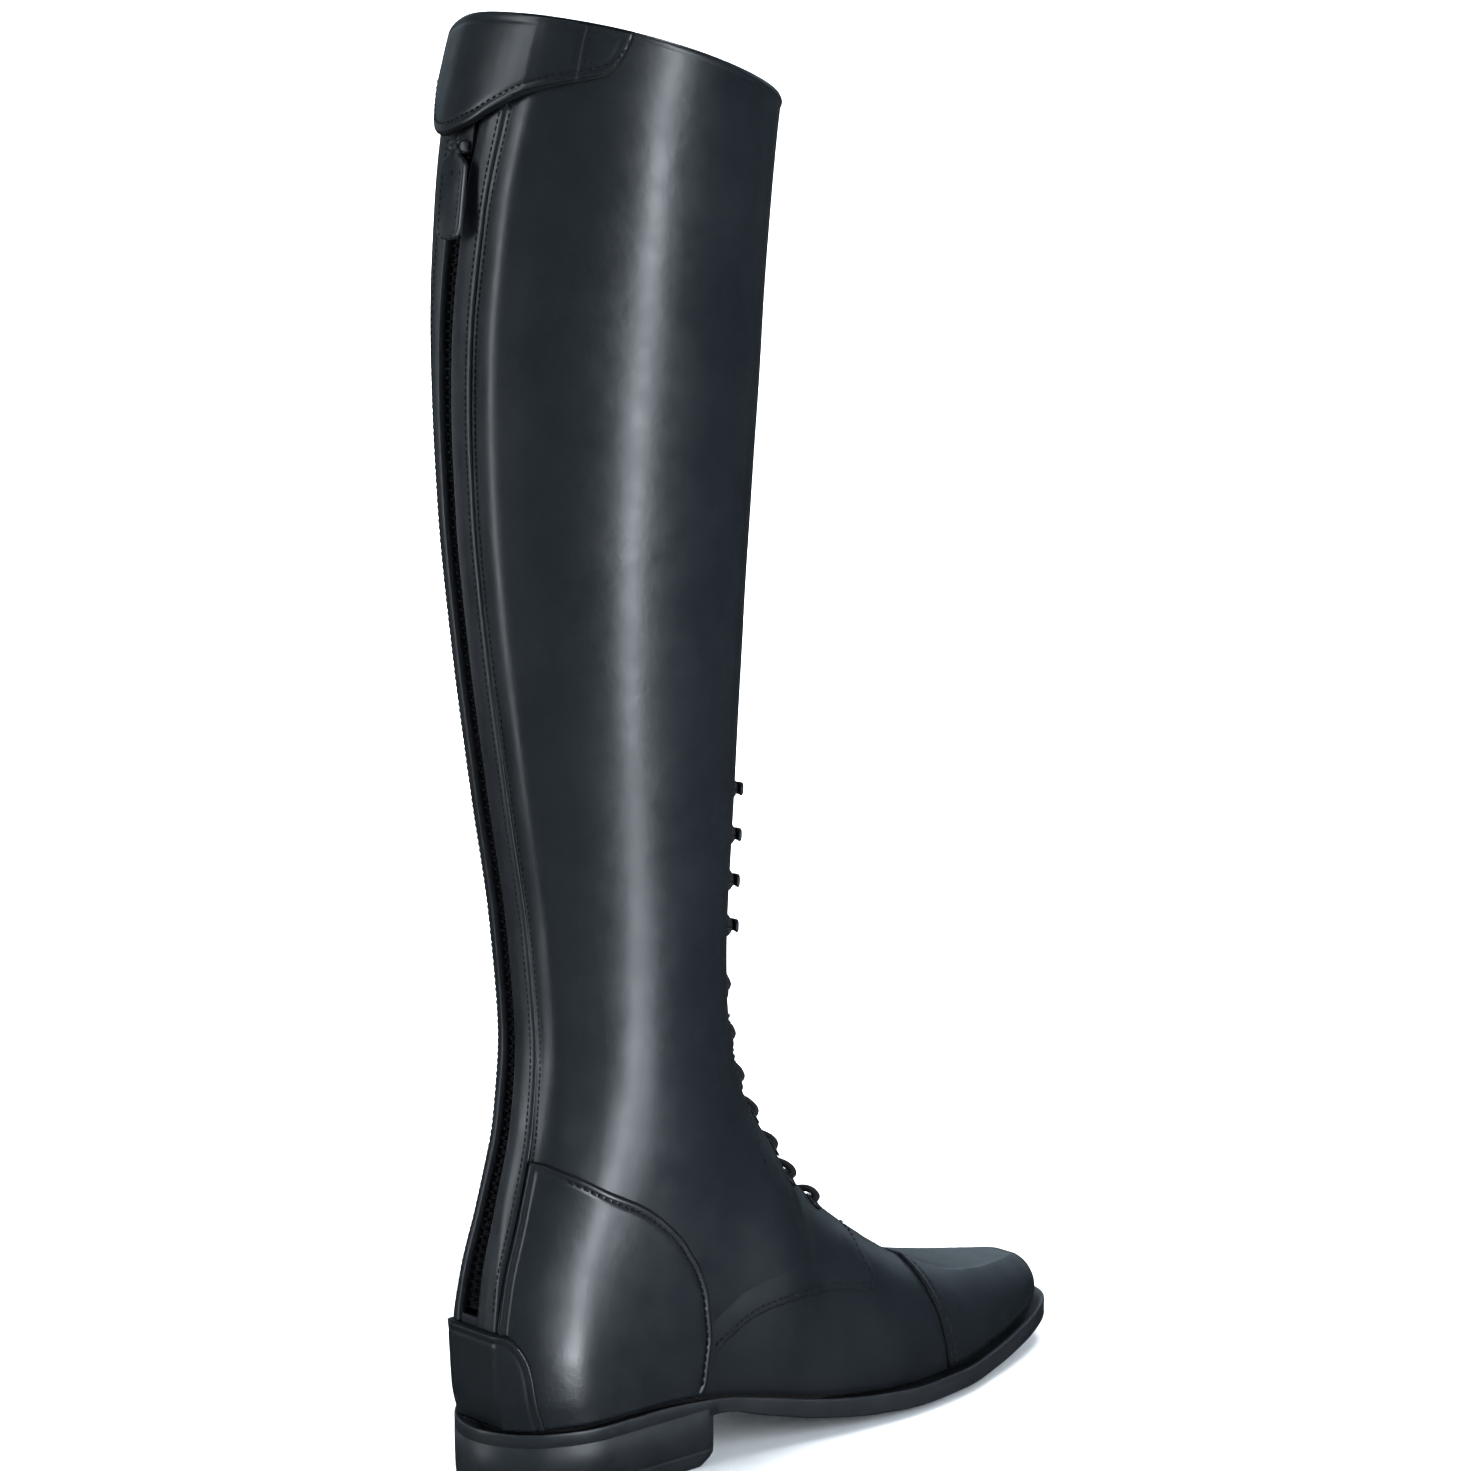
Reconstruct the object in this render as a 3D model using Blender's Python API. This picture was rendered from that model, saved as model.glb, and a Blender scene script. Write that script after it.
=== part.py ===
# A tall lace-up riding boot for the right foot, with a zip down its back.
# Sizes are in millimetres: x runs from the back of the heel to the toe, y to the inner side, z up.
import math

import bmesh
import bpy
import numpy as np
from mathutils import Matrix, Vector

for old in list(bpy.data.objects):
    bpy.data.objects.remove(old, do_unlink=True)

# Driving sizes
FOOT_LENGTH = 275.5
WALL = 2.4
GAP = 0.3
SEAT = 0.5
HEEL_HEIGHT = 18.0
TOP_PIECE = 6.0
WELT = 2.6
BREAST = 82.0
REST_X = 37.0
THROAT_HALF = 6.5
ZIP_HALF = 4.5
STRIP_WIDTH = 10.0
OVERLAY = 0.9
TONGUE_THICK = 1.6
FLAP_THICK = 1.6
TAPE_HALF = 11.0
CHAIN_HALF = 3.0
LACE_RADIUS = 1.5
LACE_TURN = 1.6

# Plan of the upper at the feather line: half-widths over the station
PLAN = {
    "x": [0, 5, 14, 32, 60, 90, 120, 150, 175, 200, 225, 245, 259, 268, 273.5, 275.5],
    "outer": [0, 14.5, 22.5, 28.5, 29.5, 30.5, 34.0, 38.8, 40.8, 38.6, 31.6, 24.6, 18.8, 13.8, 7.6, 0],
    "inner": [0, 14.5, 22.5, 28.5, 27.0, 23.5, 25.5, 32.0, 37.5, 38.6, 32.6, 26.2, 20.6, 15.4, 8.6, 0],
}

# The sole along the foot: top face, lower edge, crown of the tread, and how far its edge stands out
SOLE = {
    "x": [0, 55, 84, 106, 130, 155, 180, 205, 230, 253, 275.5],
    "top": [26.0, 26.0, 24.0, 19.6, 14.4, 11.2, 9.8, 9.8, 11.0, 13.2, 16.2],
    "edge": [18.3, 18.3, 18.3, 12.6, 6.8, 3.5, 2.2, 2.2, 3.4, 5.6, 8.6],
    "crown": [0, 0, 0, 0.6, 1.6, 2.6, 3.2, 3.2, 2.6, 1.8, 1.0],
    "margin": [3.0, 3.0, 3.0, 3.4, 4.2, 4.7, 5.0, 5.0, 5.3, 5.5, 5.5],
}

# Centre front of the upper in side view, from the toe to the collar
FRONT = {
    "x": [275.5, 276.3, 274.8, 269.5, 257, 238, 213, 189, 167, 147.5,
          130.5, 118.5, 111.8, 109.5, 110.8, 114.8, 119.5, 125.0, 130.5],
    "z": [16.2, 22.0, 27.5, 32.0, 35.2, 38.5, 44.0, 54.5, 69.5, 87.0,
          107.5, 130, 154, 181, 226, 296, 366, 436, 477],
}

# Centre back of the upper in side view
BACK = {
    "z": [26, 38, 54, 76, 101, 131, 161, 196, 246, 296, 346, 396, 446, 475, 495, 520],
    "x": [3.0, 0.5, 0, 2.5, 9.5, 18.5, 22.5, 20.5, 13.5, 7.0, 2.5, 1.0, 4.0, 8.0, 13.0, 21.0],
}

# Half-width of the shaft over its height
SHAFT = {
    "z": [26, 76, 106, 136, 166, 196, 246, 296, 346, 396, 446, 520],
    "half": [28, 30.5, 32, 33.5, 35, 37, 41, 44.5, 48.0, 50.5, 51.5, 52.0],
}

# The shaft's widest place from back to front, its roundness there, and the heights where it takes over
SHAFT_MIDDLE = 0.46
SHAFT_ROUND = {"front": 1.95, "back": 2.1}
SHAFT_FROM, SHAFT_FULL = 50.0, 130.0

# Roundness of the foot's cross-sections over the station
ROUND = {"x": [100, 140, 175, 210, 245, 275.5], "n": [1.75, 1.8, 2.0, 2.15, 2.2, 2.2]}

# Sections: length up the centre front against height at the centre back
SECTION = {
    "front": [0, 31.4, 129.1, 232.4, 259.5, 556.3],
    "back": [26, 46, 88, 154, 181, 477],
}

# Collar line: rise at the back, and swell of the two sides
COLLAR = {"back": 34.0, "outer": 0.0, "inner": -14.0}

# Zip line: how far it lies to the inner side of the centre back, over the section
ZIP_LINE = {
    "s": [0, 70, 140, 190, 260, 340, 400, 440, 470, 500, 530, 556.3],
    "d": [4.0, 4.5, 5.0, 6.5, 9.0, 11.0, 12.5, 13.0, 11.5, 8.0, 3.0, 1.0],
}

# Counter: front edge as a distance from the centre back, over the section
COUNTER = {
    "s": [1, 7, 22, 42, 83, 110, 130.5, 148, 158, 166, 174, 180],
    "d": [93, 96.4, 99.3, 100.7, 97.7, 91.8, 82.7, 68, 55.8, 41, 27, 14],
}

# Heel cap: half-width and how far it stands out, over the section
HEEL_CAP = {
    "s": [1, 12, 25, 45, 58, 67],
    "d": [25.7, 24.9, 24.1, 22.4, 19.2, 14.6],
    "out": [1.7, 1.8, 1.9, 2.1, 2.5, 3.2],
}

# Toe cap: station of its seam at the crest and at the feather line
TOE_SEAM = (192.5, 195.0)

# Collar flap: lower edge and stand-off, from the outer side round the back to the inner side
FLAP = {
    "d": [-50.5, -48.5, -45, -38, -30, -20, -10, 2, 12, 22, 30, 36],
    "low": [554.0, 547, 542, 539, 536.5, 533, 528.5, 523, 521, 523, 530, 541],
    "off": [0.5, 0.5, 0.5, 0.6, 0.8, 1.9, 2.4, 3.4, 3.8, 2.6, 2.1, 2.0],
}

# Tongue: half-width over the section, from its foot to its top
TONGUE = {
    "s": [114, 126, 141, 157, 175, 192, 208, 226, 245, 268, 292, 318, 336, 350],
    "half": [18.0, 19.0, 20.4, 21.7, 22.2, 22.4, 22.5, 22.7, 22.9, 23.1, 23.4, 23.7, 23.9, 24.0],
}

# Profile of an eyelet: radius and height over its seat
EYELET = {"r": [2.0, 4.0, 3.6, 2.0], "h": [0.0, 0.0, 0.9, 0.9]}

# Profile of a lace hook: away from the throat, and out from the leather
HOOK = {
    "away": [-2.6, 2.6, 2.6, -1.2, -1.6, -1.2, 0.4, 2.2, 2.9, 3.4, 2.6, 0.4, -1.8, -2.6],
    "out": [0.8, 0.8, 1.6, 1.6, 2.4, 3.8, 4.4, 4.2, 3.6, 4.2, 5.0, 5.3, 4.6, 3.0],
}
HOOK_HALF = 2.4

# Zip slider: its plate seen from outside, and a lug of its bridge seen from the side
SLIDER = {
    "up": [-6.5, -4.0, 5.0, 6.5, 6.5, 5.0, -4.0, -6.5],
    "side": [-3.0, -3.8, -3.8, -2.6, 2.6, 3.8, 3.8, 3.0],
}
LUG = {"up": [-2.0, 2.0, 1.6, 0.6, -0.6, -1.6], "out": [-3.2, -3.2, 1.0, 1.4, 1.4, 1.0]}
LUG_AT = 3.1
PIN_OUT = 4.2
PIN_RADIUS = 0.8

# Places of eyelets and hooks up the front, and how far they and the lace lie from its middle
EYELET_ROWS = [141.0, 157.5, 175.5, 192.5, 208.5, 226.0, 245.0]
HOOK_ROWS = [268.0, 284.5, 301.0, 317.5]
EYELET_OUT = 12.5
HOOK_OUT = 13.1
EYELET_SEAT = 0.75
LACE_AT_EYELET = (EYELET_OUT, 4.0)
LACE_AT_HOOK = (8.0, 2.4)

# Rows of the upper's mesh, and where throat and zip begin
UPPER_ROWS = [0, 4, 9, 14, 20, 28, 38, 50, 62, 74, 86, 98, 112, 126, 141, 157, 175, 192, 208, 226, 246,
              268, 290, 312, 336, 368, 402, 438, 474, 506, 528, 544, 556.3]
THROAT_ROWS = (126, 336)
ZIP_FOOT = 74
PULL_ROW = 516.5
PULL_LENGTH = 31.0
PULL_WIDTH = 13.0
SOLE_STEPS = 30


def smooth(xs, ys, x):
    """Monotone cubic through the rows of a table."""
    xs = np.asarray(xs, float)
    ys = np.asarray(ys, float)
    x = np.clip(x, xs[0], xs[-1])
    h = np.diff(xs)
    d = np.diff(ys) / h
    m = np.zeros(len(xs))
    w1 = 2 * h[1:] + h[:-1]
    w2 = h[1:] + 2 * h[:-1]
    with np.errstate(divide="ignore", invalid="ignore"):
        m[1:-1] = np.where(d[1:] * d[:-1] > 0, (w1 + w2) / (w1 / d[:-1] + w2 / d[1:]), 0)
    m[0] = d[0]
    m[-1] = d[-1]
    return hermite(xs, ys, m, x)


def flow(xs, ys, x):
    """Smooth curve through the rows of a table, free to swing past them a little."""
    xs = np.asarray(xs, float)
    ys = np.asarray(ys, float)
    return hermite(xs, ys, np.gradient(ys, xs), np.clip(x, xs[0], xs[-1]))


def hermite(xs, ys, m, x):
    i = np.clip(np.searchsorted(xs, x, side="right") - 1, 0, len(xs) - 2)
    h = xs[i + 1] - xs[i]
    t = (x - xs[i]) / h
    rise = ys[i] * (1 + 2 * t) * (1 - t) ** 2 + ys[i + 1] * t * t * (3 - 2 * t)
    return rise + h * (m[i] * t * (1 - t) ** 2 + m[i + 1] * t * t * (t - 1))


def step(a, b, x):
    t = np.clip((x - a) / (b - a), 0, 1)
    return t * t * (3 - 2 * t)


def turn(x):
    return np.arccos(np.clip(1 - 2 * np.asarray(x, float) / FOOT_LENGTH, -1, 1))


def plan(x, side):
    return smooth(turn(PLAN["x"]), PLAN[side], turn(x))


def sole(x, column):
    return smooth(SOLE["x"], SOLE[column], x)


FRONT_RUN = np.concatenate([[0], np.cumsum(np.hypot(np.diff(FRONT["x"]), np.diff(FRONT["z"])))])
TOP_S = FRONT_RUN[-1]
RUN = np.linspace(0, TOP_S, 2000)
RUN_X = flow(FRONT_RUN, FRONT["x"], RUN)
RUN_Z = flow(FRONT_RUN, FRONT["z"], RUN)
TOE_TIP = int(np.argmax(RUN_X))
ANKLE = int(np.argmin(RUN_X))


def crest(x):
    """Height of the foot's crest over the station, from the ankle to the toe."""
    xs = RUN_X[TOE_TIP:ANKLE + 1][::-1]
    zs = RUN_Z[TOE_TIP:ANKLE + 1][::-1]
    return np.where(x <= xs[0], 1e4, np.interp(x, xs, zs))


def back_x(z):
    return smooth(BACK["z"], BACK["x"], z)


def half_width(x, z, side):
    """Half-width of the upper at a place in side view: foot sections below, shaft sections above."""
    shift = (back_x(z) - back_x(26.0)) * (1 - step(20, 110, x))
    nose = np.interp(np.minimum(z, RUN_Z[TOE_TIP]), RUN_Z, RUN_X) - FOOT_LENGTH
    station = np.clip(x - shift - nose * step(200, FOOT_LENGTH, x), 0, FOOT_LENGTH)
    floor = sole(station, "top")
    n = smooth(ROUND["x"], ROUND["n"], station)
    r = np.clip((z - floor) / np.maximum(crest(x) - floor, 1e-6), 0, 1) * step(RUN_X[ANKLE], 140, x)
    foot = plan(station, side) * (1 - r ** n) ** (1 / n)
    back = back_x(z)
    front = np.interp(z, RUN_Z, RUN_X)
    middle = back + SHAFT_MIDDLE * (front - back)
    u = np.where(x > middle, (x - middle) / (front - middle), (middle - x) / (middle - back))
    u = np.clip(np.abs(u), 0, 1)
    m = np.where(x > middle, SHAFT_ROUND["front"], SHAFT_ROUND["back"])
    shaft = smooth(SHAFT["z"], SHAFT["half"], z) * (1 - u ** m) ** (1 / m)
    k = step(SHAFT_FROM, SHAFT_FULL, z)
    return (1 - k) * foot + k * shaft


def section(s):
    """Closed loop round the upper: from the centre front along the outer side, back along the inner."""
    s = min(max(s, 0.0), TOP_S)
    front_x = flow(FRONT_RUN, FRONT["x"], s)
    front_z = flow(FRONT_RUN, FRONT["z"], s)
    rise = step(330, FRONT["z"][-1], front_z)
    back_z = np.interp(s, SECTION["front"], SECTION["back"]) + rise * COLLAR["back"]
    rear = back_x(back_z)
    u = (1 + np.cos(np.linspace(0, np.pi, 161))) / 2
    x = rear + (front_x - rear) * u
    sag = 1 - step(16, 75, front_z)
    base = SOLE["top"][0] + (SOLE["top"][-1] - SOLE["top"][0]) * np.clip(x, 0, FOOT_LENGTH) / FOOT_LENGTH
    level = back_z + (front_z - back_z) * u + sag * (sole(x, "top") - base + SEAT)
    halves = []
    for side, sign in (("outer", -1), ("inner", 1)):
        z = level + rise * COLLAR[side] * 4 * u * (1 - u)
        y = sign * half_width(x, z, side)
        y[0] = y[-1] = 0
        halves.append(np.stack([x, y, z], -1))
    loop = np.vstack([halves[0], halves[1][::-1][1:]])
    run = np.concatenate([[0], np.cumsum(np.linalg.norm(np.diff(loop, axis=0), axis=1))])
    return loop, run, run[160]


def along(loop, run, a):
    a = np.mod(a, run[-1])
    return np.stack([np.interp(a, run, loop[:, k]) for k in range(3)], -1)


def skin(rows, d, base):
    """Points and outward normals; d is a distance round the section, inner side positive."""
    points, normals = [], []
    for s, row in zip(rows, d):
        found = []
        for ds in (0, 1.5, -1.5):
            loop, run, back = section(s + ds)
            if base == "back":
                a = back + row
            elif base == "front":
                a = -row
            else:
                a = row
            found.append(along(loop, run, a))
            if ds == 0:
                tangent = along(loop, run, a + 0.6) - along(loop, run, a - 0.6)
        n = np.cross(found[1] - found[2], tangent)
        points.append(found[0])
        normals.append(n / np.linalg.norm(n, axis=1)[:, None])
    return np.array(points), np.array(normals)


def material(name, color, rough, metal=0.0):
    mat = bpy.data.materials.new(name)
    mat.use_nodes = True
    node = mat.node_tree.nodes["Principled BSDF"]
    node.inputs["Base Color"].default_value = (*color, 1)
    node.inputs["Roughness"].default_value = rough
    node.inputs["Metallic"].default_value = metal
    return mat


LEATHER = material("leather", (0.020, 0.024, 0.029), 0.35)
RUBBER = material("rubber", (0.014, 0.017, 0.020), 0.55)
LINING = material("lining", (0.10, 0.09, 0.08), 0.8)
METAL = material("metal", (0.02, 0.02, 0.022), 0.3, 1.0)
CLOTH = material("cloth", (0.008, 0.008, 0.009), 0.9)


def solid(name, verts, faces, mat):
    """One closed object in metres, its origin at the middle of the heel's rest."""
    bm = bmesh.new()
    made = [bm.verts.new(((v[0] - REST_X) / 1000, v[1] / 1000, v[2] / 1000)) for v in verts]
    for face in faces:
        bm.faces.new([made[i] for i in face])
    bmesh.ops.remove_doubles(bm, verts=bm.verts, dist=0.000002)
    bmesh.ops.dissolve_degenerate(bm, edges=bm.edges, dist=0.000001)
    loose = [v for v in bm.verts if not v.link_faces]
    bmesh.ops.delete(bm, geom=loose, context="VERTS")
    bmesh.ops.recalc_face_normals(bm, faces=bm.faces)
    mesh = bpy.data.meshes.new(name)
    bm.to_mesh(mesh)
    bm.free()
    mesh.materials.append(mat)
    obj = bpy.data.objects.new(name, mesh)
    bpy.context.scene.collection.objects.link(obj)
    return obj


def shell(name, points, normals, low, high, mat, closed=False, keep=None):
    """Solid between two offsets of a grid on the skin, less the cells that are not kept."""
    rows, cols = points.shape[:2]
    low = np.broadcast_to(low, (rows, cols))[..., None]
    high = np.broadcast_to(high, (rows, cols))[..., None]
    verts = np.vstack([(points + normals * high).reshape(-1, 3), (points + normals * low).reshape(-1, 3)])
    count = rows * cols
    faces = []
    edges = set()
    for i in range(rows - 1):
        for j in range(cols if closed else cols - 1):
            if keep is not None and not keep[i, j]:
                continue
            k = (j + 1) % cols
            face = [i * cols + j, i * cols + k, (i + 1) * cols + k, (i + 1) * cols + j]
            faces.append(face)
            faces.append([v + count for v in reversed(face)])
            edges.update(zip(face, face[1:] + face[:1]))
    for a, b in sorted(edges):
        if (b, a) not in edges:
            faces.append([b, a, a + count, b + count])
    return solid(name, verts, faces, mat)


def spread(loop, run, a, b, count):
    """Places between two marks of a loop, closer together where it bends."""
    inside = np.linspace(a, b, 400)
    p = along(loop, run, inside)
    t = np.diff(p, axis=0)
    length = np.linalg.norm(t, axis=1)
    t = t / length[:, None]
    bend = np.concatenate([[0], np.arccos(np.clip((t[1:] * t[:-1]).sum(1), -1, 1))])
    cost = np.concatenate([[0], np.cumsum(length / length.sum() + bend / bend.sum())])
    return np.interp(np.linspace(0, cost[-1], count + 1), cost, inside)


def upper_grid(rows, count):
    """Columns: centre front, outer side, zip, inner side, between the edges of throat and zip."""
    arcs = []
    for s in rows:
        loop, run, back = section(s)
        half = len(loop) // 2
        edge_out = np.interp(THROAT_HALF, -loop[:half // 2, 1], run[:half // 2])
        edge_in = np.interp(THROAT_HALF, loop[::-1][:half // 2, 1], run[-1] - run[::-1][:half // 2])
        mid = back + smooth(ZIP_LINE["s"], ZIP_LINE["d"], s)
        outer = spread(loop, run, edge_out, mid - ZIP_HALF, count)
        inner = spread(loop, run, mid + ZIP_HALF, run[-1] - edge_in, count)
        arcs.append(np.concatenate([[0], outer, [mid], inner]))
    return np.array(arcs)


def upper():
    count = 14
    points, normals = skin(UPPER_ROWS, upper_grid(UPPER_ROWS, count), "loop")
    keep = np.ones((len(UPPER_ROWS) - 1, points.shape[1]), bool)
    for i, s in enumerate(UPPER_ROWS[:-1]):
        if THROAT_ROWS[0] <= s < THROAT_ROWS[1]:
            keep[i, 0] = keep[i, -1] = False
        if s >= ZIP_FOOT:
            keep[i, count + 1] = keep[i, count + 2] = False
    shell("upper", points, normals, -WALL, 0.0, LEATHER, True, keep)


def tongue():
    d = np.linspace(-1, 1, 7) * np.array(TONGUE["half"])[:, None]
    points, normals = skin(TONGUE["s"], d, "front")
    top = -WALL - 0.7
    shell("tongue", points, normals, top - TONGUE_THICK, top, LEATHER)


def toe_seam(across):
    """The seam as sections and distances from the centre front, from the crest to the feather line."""
    crest_s = np.interp(-TOE_SEAM[0], -RUN_X[TOE_TIP:ANKLE], RUN[TOE_TIP:ANKLE])
    rows = np.maximum(crest_s * (1 - across ** 2), 0.0)
    stations = TOE_SEAM[0] + (TOE_SEAM[1] - TOE_SEAM[0]) * across ** 2
    reach = []
    for s, x in zip(rows, stations):
        loop, run, _ = section(s)
        reach.append(np.interp(-x, -loop[:120, 0], run[:120]))
    return rows, np.array(reach)


def toe_cap():
    share = np.array([0, 0.07, 0.14, 0.22, 0.32, 0.44, 0.58, 0.72, 0.86, 1.0])
    across = np.linspace(-1, 1, 17)
    rows, reach = toe_seam(np.abs(across))
    s = share[:, None] * rows
    d = share[:, None] * reach * np.sign(across)
    pairs = [skin(np.maximum(row, 0.8), v[:, None], "front") for row, v in zip(s, d)]
    points = np.array([p[0][:, 0] for p in pairs])
    normals = np.array([p[1][:, 0] for p in pairs])
    low = 0.95 + 0.35 * share[:, None]
    shell("toe_cap", points, normals, low, low + OVERLAY, LEATHER)


def counter(name, sign):
    rows = np.array([1.0, 14, 28, 50, 62, 68, 74, 86, 98, 112, 126, 141, 157, 168, 175, 179])
    edge = smooth(COUNTER["s"], COUNTER["d"], rows)
    strip = STRIP_WIDTH + ZIP_HALF + 0.4 + sign * smooth(ZIP_LINE["s"], ZIP_LINE["d"], rows) + 0.4
    cap = smooth(HEEL_CAP["s"], HEEL_CAP["d"], rows) + 0.5
    start = np.where(rows < 70, np.maximum(cap, strip), strip)
    edge = np.maximum(edge, start + 4)
    share = np.array([0, 0.08, 0.17, 0.28, 0.42, 0.60, 0.80, 1.0])
    d = sign * (start[:, None] + (edge - start)[:, None] * share)
    points, normals = skin(rows, d, "back")
    low = 1.1 + 0.25 * step(110, 150, rows)[:, None]
    shell(name, points, normals, low, low + OVERLAY, LEATHER)


def heel_cap():
    rows = np.array([1, 9, 20, 28, 38, 50, 62, 67])
    d = smooth(HEEL_CAP["s"], HEEL_CAP["d"], rows)[:, None] * np.linspace(-1, 1, 11)
    points, normals = skin(rows, d, "back")
    out = smooth(HEEL_CAP["s"], HEEL_CAP["out"], rows)[:, None]
    shell("heel_cap", points, normals, 0.75, out, LEATHER)


def back_strip(name, sign):
    rows = np.array([r for r in UPPER_ROWS if r > 75] + [77.0, 551.0])
    rows = np.sort(rows[rows < 552])
    mid = smooth(ZIP_LINE["s"], ZIP_LINE["d"], rows)
    near = mid + sign * (ZIP_HALF + 0.4)
    d = near[:, None] + sign * STRIP_WIDTH * np.array([0, 0.5, 1.0])
    points, normals = skin(rows, d, "back")
    shell(name, points, normals, 0.4, np.array([1.3, 1.7, 1.3]), LEATHER)


def collar_flap():
    across = np.array([-50, -47, -43, -37, -30, -23, -16, -9, -2, 5, 12, 19, 26, 31, 35])
    low = smooth(FLAP["d"], FLAP["low"], across)
    off = smooth(FLAP["d"], FLAP["off"], across)
    share = np.array([0, 0.3, 0.65, 1.0])
    s = low + (TOP_S - 0.8 - low) * share[:, None]
    pairs = [skin(row, across[:, None] * 1.0, "back") for row in s]
    points = np.array([p[0][:, 0] for p in pairs])
    normals = np.array([p[1][:, 0] for p in pairs])
    lift = 0.5 + (off - 0.5) * np.array([1.0, 0.85, 0.7, 0.62])[:, None]
    lift = np.where((across > -20) & (across < 24), np.maximum(lift, 2.1), lift)
    shell("collar_flap", points, normals, lift, lift + FLAP_THICK, LEATHER)


def zip_pieces():
    rows = np.array([82.0] + [r for r in UPPER_ROWS if 90 < r < 550] + [551.0])
    mid = smooth(ZIP_LINE["s"], ZIP_LINE["d"], rows)[:, None]
    points, normals = skin(rows, mid + TAPE_HALF * np.array([-1, 0, 1]), "back")
    shell("zip_tape", points, normals, -WALL - 1.4, -WALL - 0.6, CLOTH)
    points, normals = skin(rows, mid + CHAIN_HALF * np.array([-1, 1]), "back")
    shell("zip_chain", points, normals, -2.2, -0.7, METAL)


def frame_at(s, d, base):
    """Point with its outward, sideways and upward directions on the skin."""
    points, normals = skin([s], np.array([[d]]), base)
    side, _ = skin([s], np.array([[d + 0.5]]), base)
    n = normals[0, 0]
    t = side[0, 0] - points[0, 0]
    t = t - n * (t @ n)
    t = t / np.linalg.norm(t)
    up = np.cross(n, t)
    if up[2] < 0:
        up = -up
    return points[0, 0], n, t, up


def extrude(name, ring, direction, half, mat):
    """Prism: a flat ring of points pushed both ways."""
    ring = np.asarray(ring, float)
    count = len(ring)
    verts = np.vstack([ring - direction * half, ring + direction * half])
    faces = [[i, (i + 1) % count, (i + 1) % count + count, i + count] for i in range(count)]
    faces.append(list(range(count - 1, -1, -1)))
    faces.append(list(range(count, 2 * count)))
    return solid(name, verts, faces, mat)


def combine(base, other, how):
    """One solid from two, by an exact Boolean."""
    other.hide_render = True
    other.display_type = "WIRE"
    mod = base.modifiers.new(how, "BOOLEAN")
    mod.operation = how
    mod.solver = "EXACT"
    mod.object = other
    graph = bpy.context.evaluated_depsgraph_get()
    mesh = bpy.data.meshes.new_from_object(base.evaluated_get(graph))
    base.modifiers.clear()
    base.data = mesh
    bpy.data.objects.remove(other, do_unlink=True)
    return base


def circle(middle, a, b, radius, count):
    return [middle + (a * math.cos(w) + b * math.sin(w)) * radius for w in 2 * np.pi * np.arange(count) / count]


def zip_slider():
    """Plate on the chain, with two lugs and the pin between them."""
    row = PULL_ROW + 5
    p, n, t, up = frame_at(row, smooth(ZIP_LINE["s"], ZIP_LINE["d"], row), "back")
    ring = [p + up * a + t * b + n * 0.5 for a, b in zip(SLIDER["up"], SLIDER["side"])]
    body = extrude("zip_slider", ring, n, 0.9, METAL)
    pin = pull_pin()[0]
    for sign in (-1, 1):
        ring = [pin + up * a + n * b + t * sign * LUG_AT for a, b in zip(LUG["up"], LUG["out"])]
        combine(body, extrude("lug", ring, t, 0.5, METAL), "UNION")
    combine(body, extrude("pin", circle(pin, up, n, PIN_RADIUS, 10), t, LUG_AT, METAL), "UNION")


def pull_pin():
    """Middle of the pin that the pull tab turns on, with its directions."""
    row = PULL_ROW + 1.5
    p, n, t, up = frame_at(row, smooth(ZIP_LINE["s"], ZIP_LINE["d"], row), "back")
    return p + n * PIN_OUT, n, t, up


def zip_pull():
    """Leather tab with a round end, hung from a barrel on the slider's pin."""
    pin, n, t, up = pull_pin()
    half = PULL_WIDTH / 2
    neck = LUG_AT - 0.9
    low = -PULL_LENGTH + half
    flank = [(-1.2, neck), (-2.7, neck), (-5.2, half - 1.2), (-6.6, half)]
    around = [(low - half * math.sin(a), -half * math.cos(a)) for a in np.linspace(0, np.pi, 9)]
    ring = [(a, -b) for a, b in flank] + around + flank[::-1]
    tab = extrude("zip_pull", [pin + up * a + t * b + n * 0.4 for a, b in ring], n, 1.1, LEATHER)
    combine(tab, extrude("barrel", circle(pin, up, n, neck, 14), t, neck, LEATHER), "UNION")
    combine(tab, extrude("hole", circle(pin, up, n, PIN_RADIUS + 0.35, 14), t, 8.0, LEATHER), "DIFFERENCE")
    place = Vector(pin - np.array([REST_X, 0, 0])) / 1000
    tab.data.transform(Matrix.Translation(-place))
    tab.location = place


def eyelet(name, s, d):
    """A ring with a rounded face, set on the leather."""
    p, n, t, up = frame_at(s, d, "front")
    sides = 6
    m = len(EYELET["r"])
    rings = [circle(p + n * (EYELET_SEAT + h), t, up, r, sides) for r, h in zip(EYELET["r"], EYELET["h"])]
    verts = [ring[i] for i in range(sides) for ring in rings]
    faces = []
    for i in range(sides):
        k = (i + 1) % sides
        faces += [[i * m + j, i * m + (j + 1) % m, k * m + (j + 1) % m, k * m + j] for j in range(m)]
    solid(name, verts, faces, METAL)


def hook(name, s, d):
    """A lace hook bent from plate, its mouth turned away from the throat."""
    p, n, t, up = frame_at(s, d, "front")
    away = t * math.copysign(1, d)
    extrude(name, [p + away * a + n * b for a, b in zip(HOOK["away"], HOOK["out"])], up, HOOK_HALF, METAL)


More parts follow.
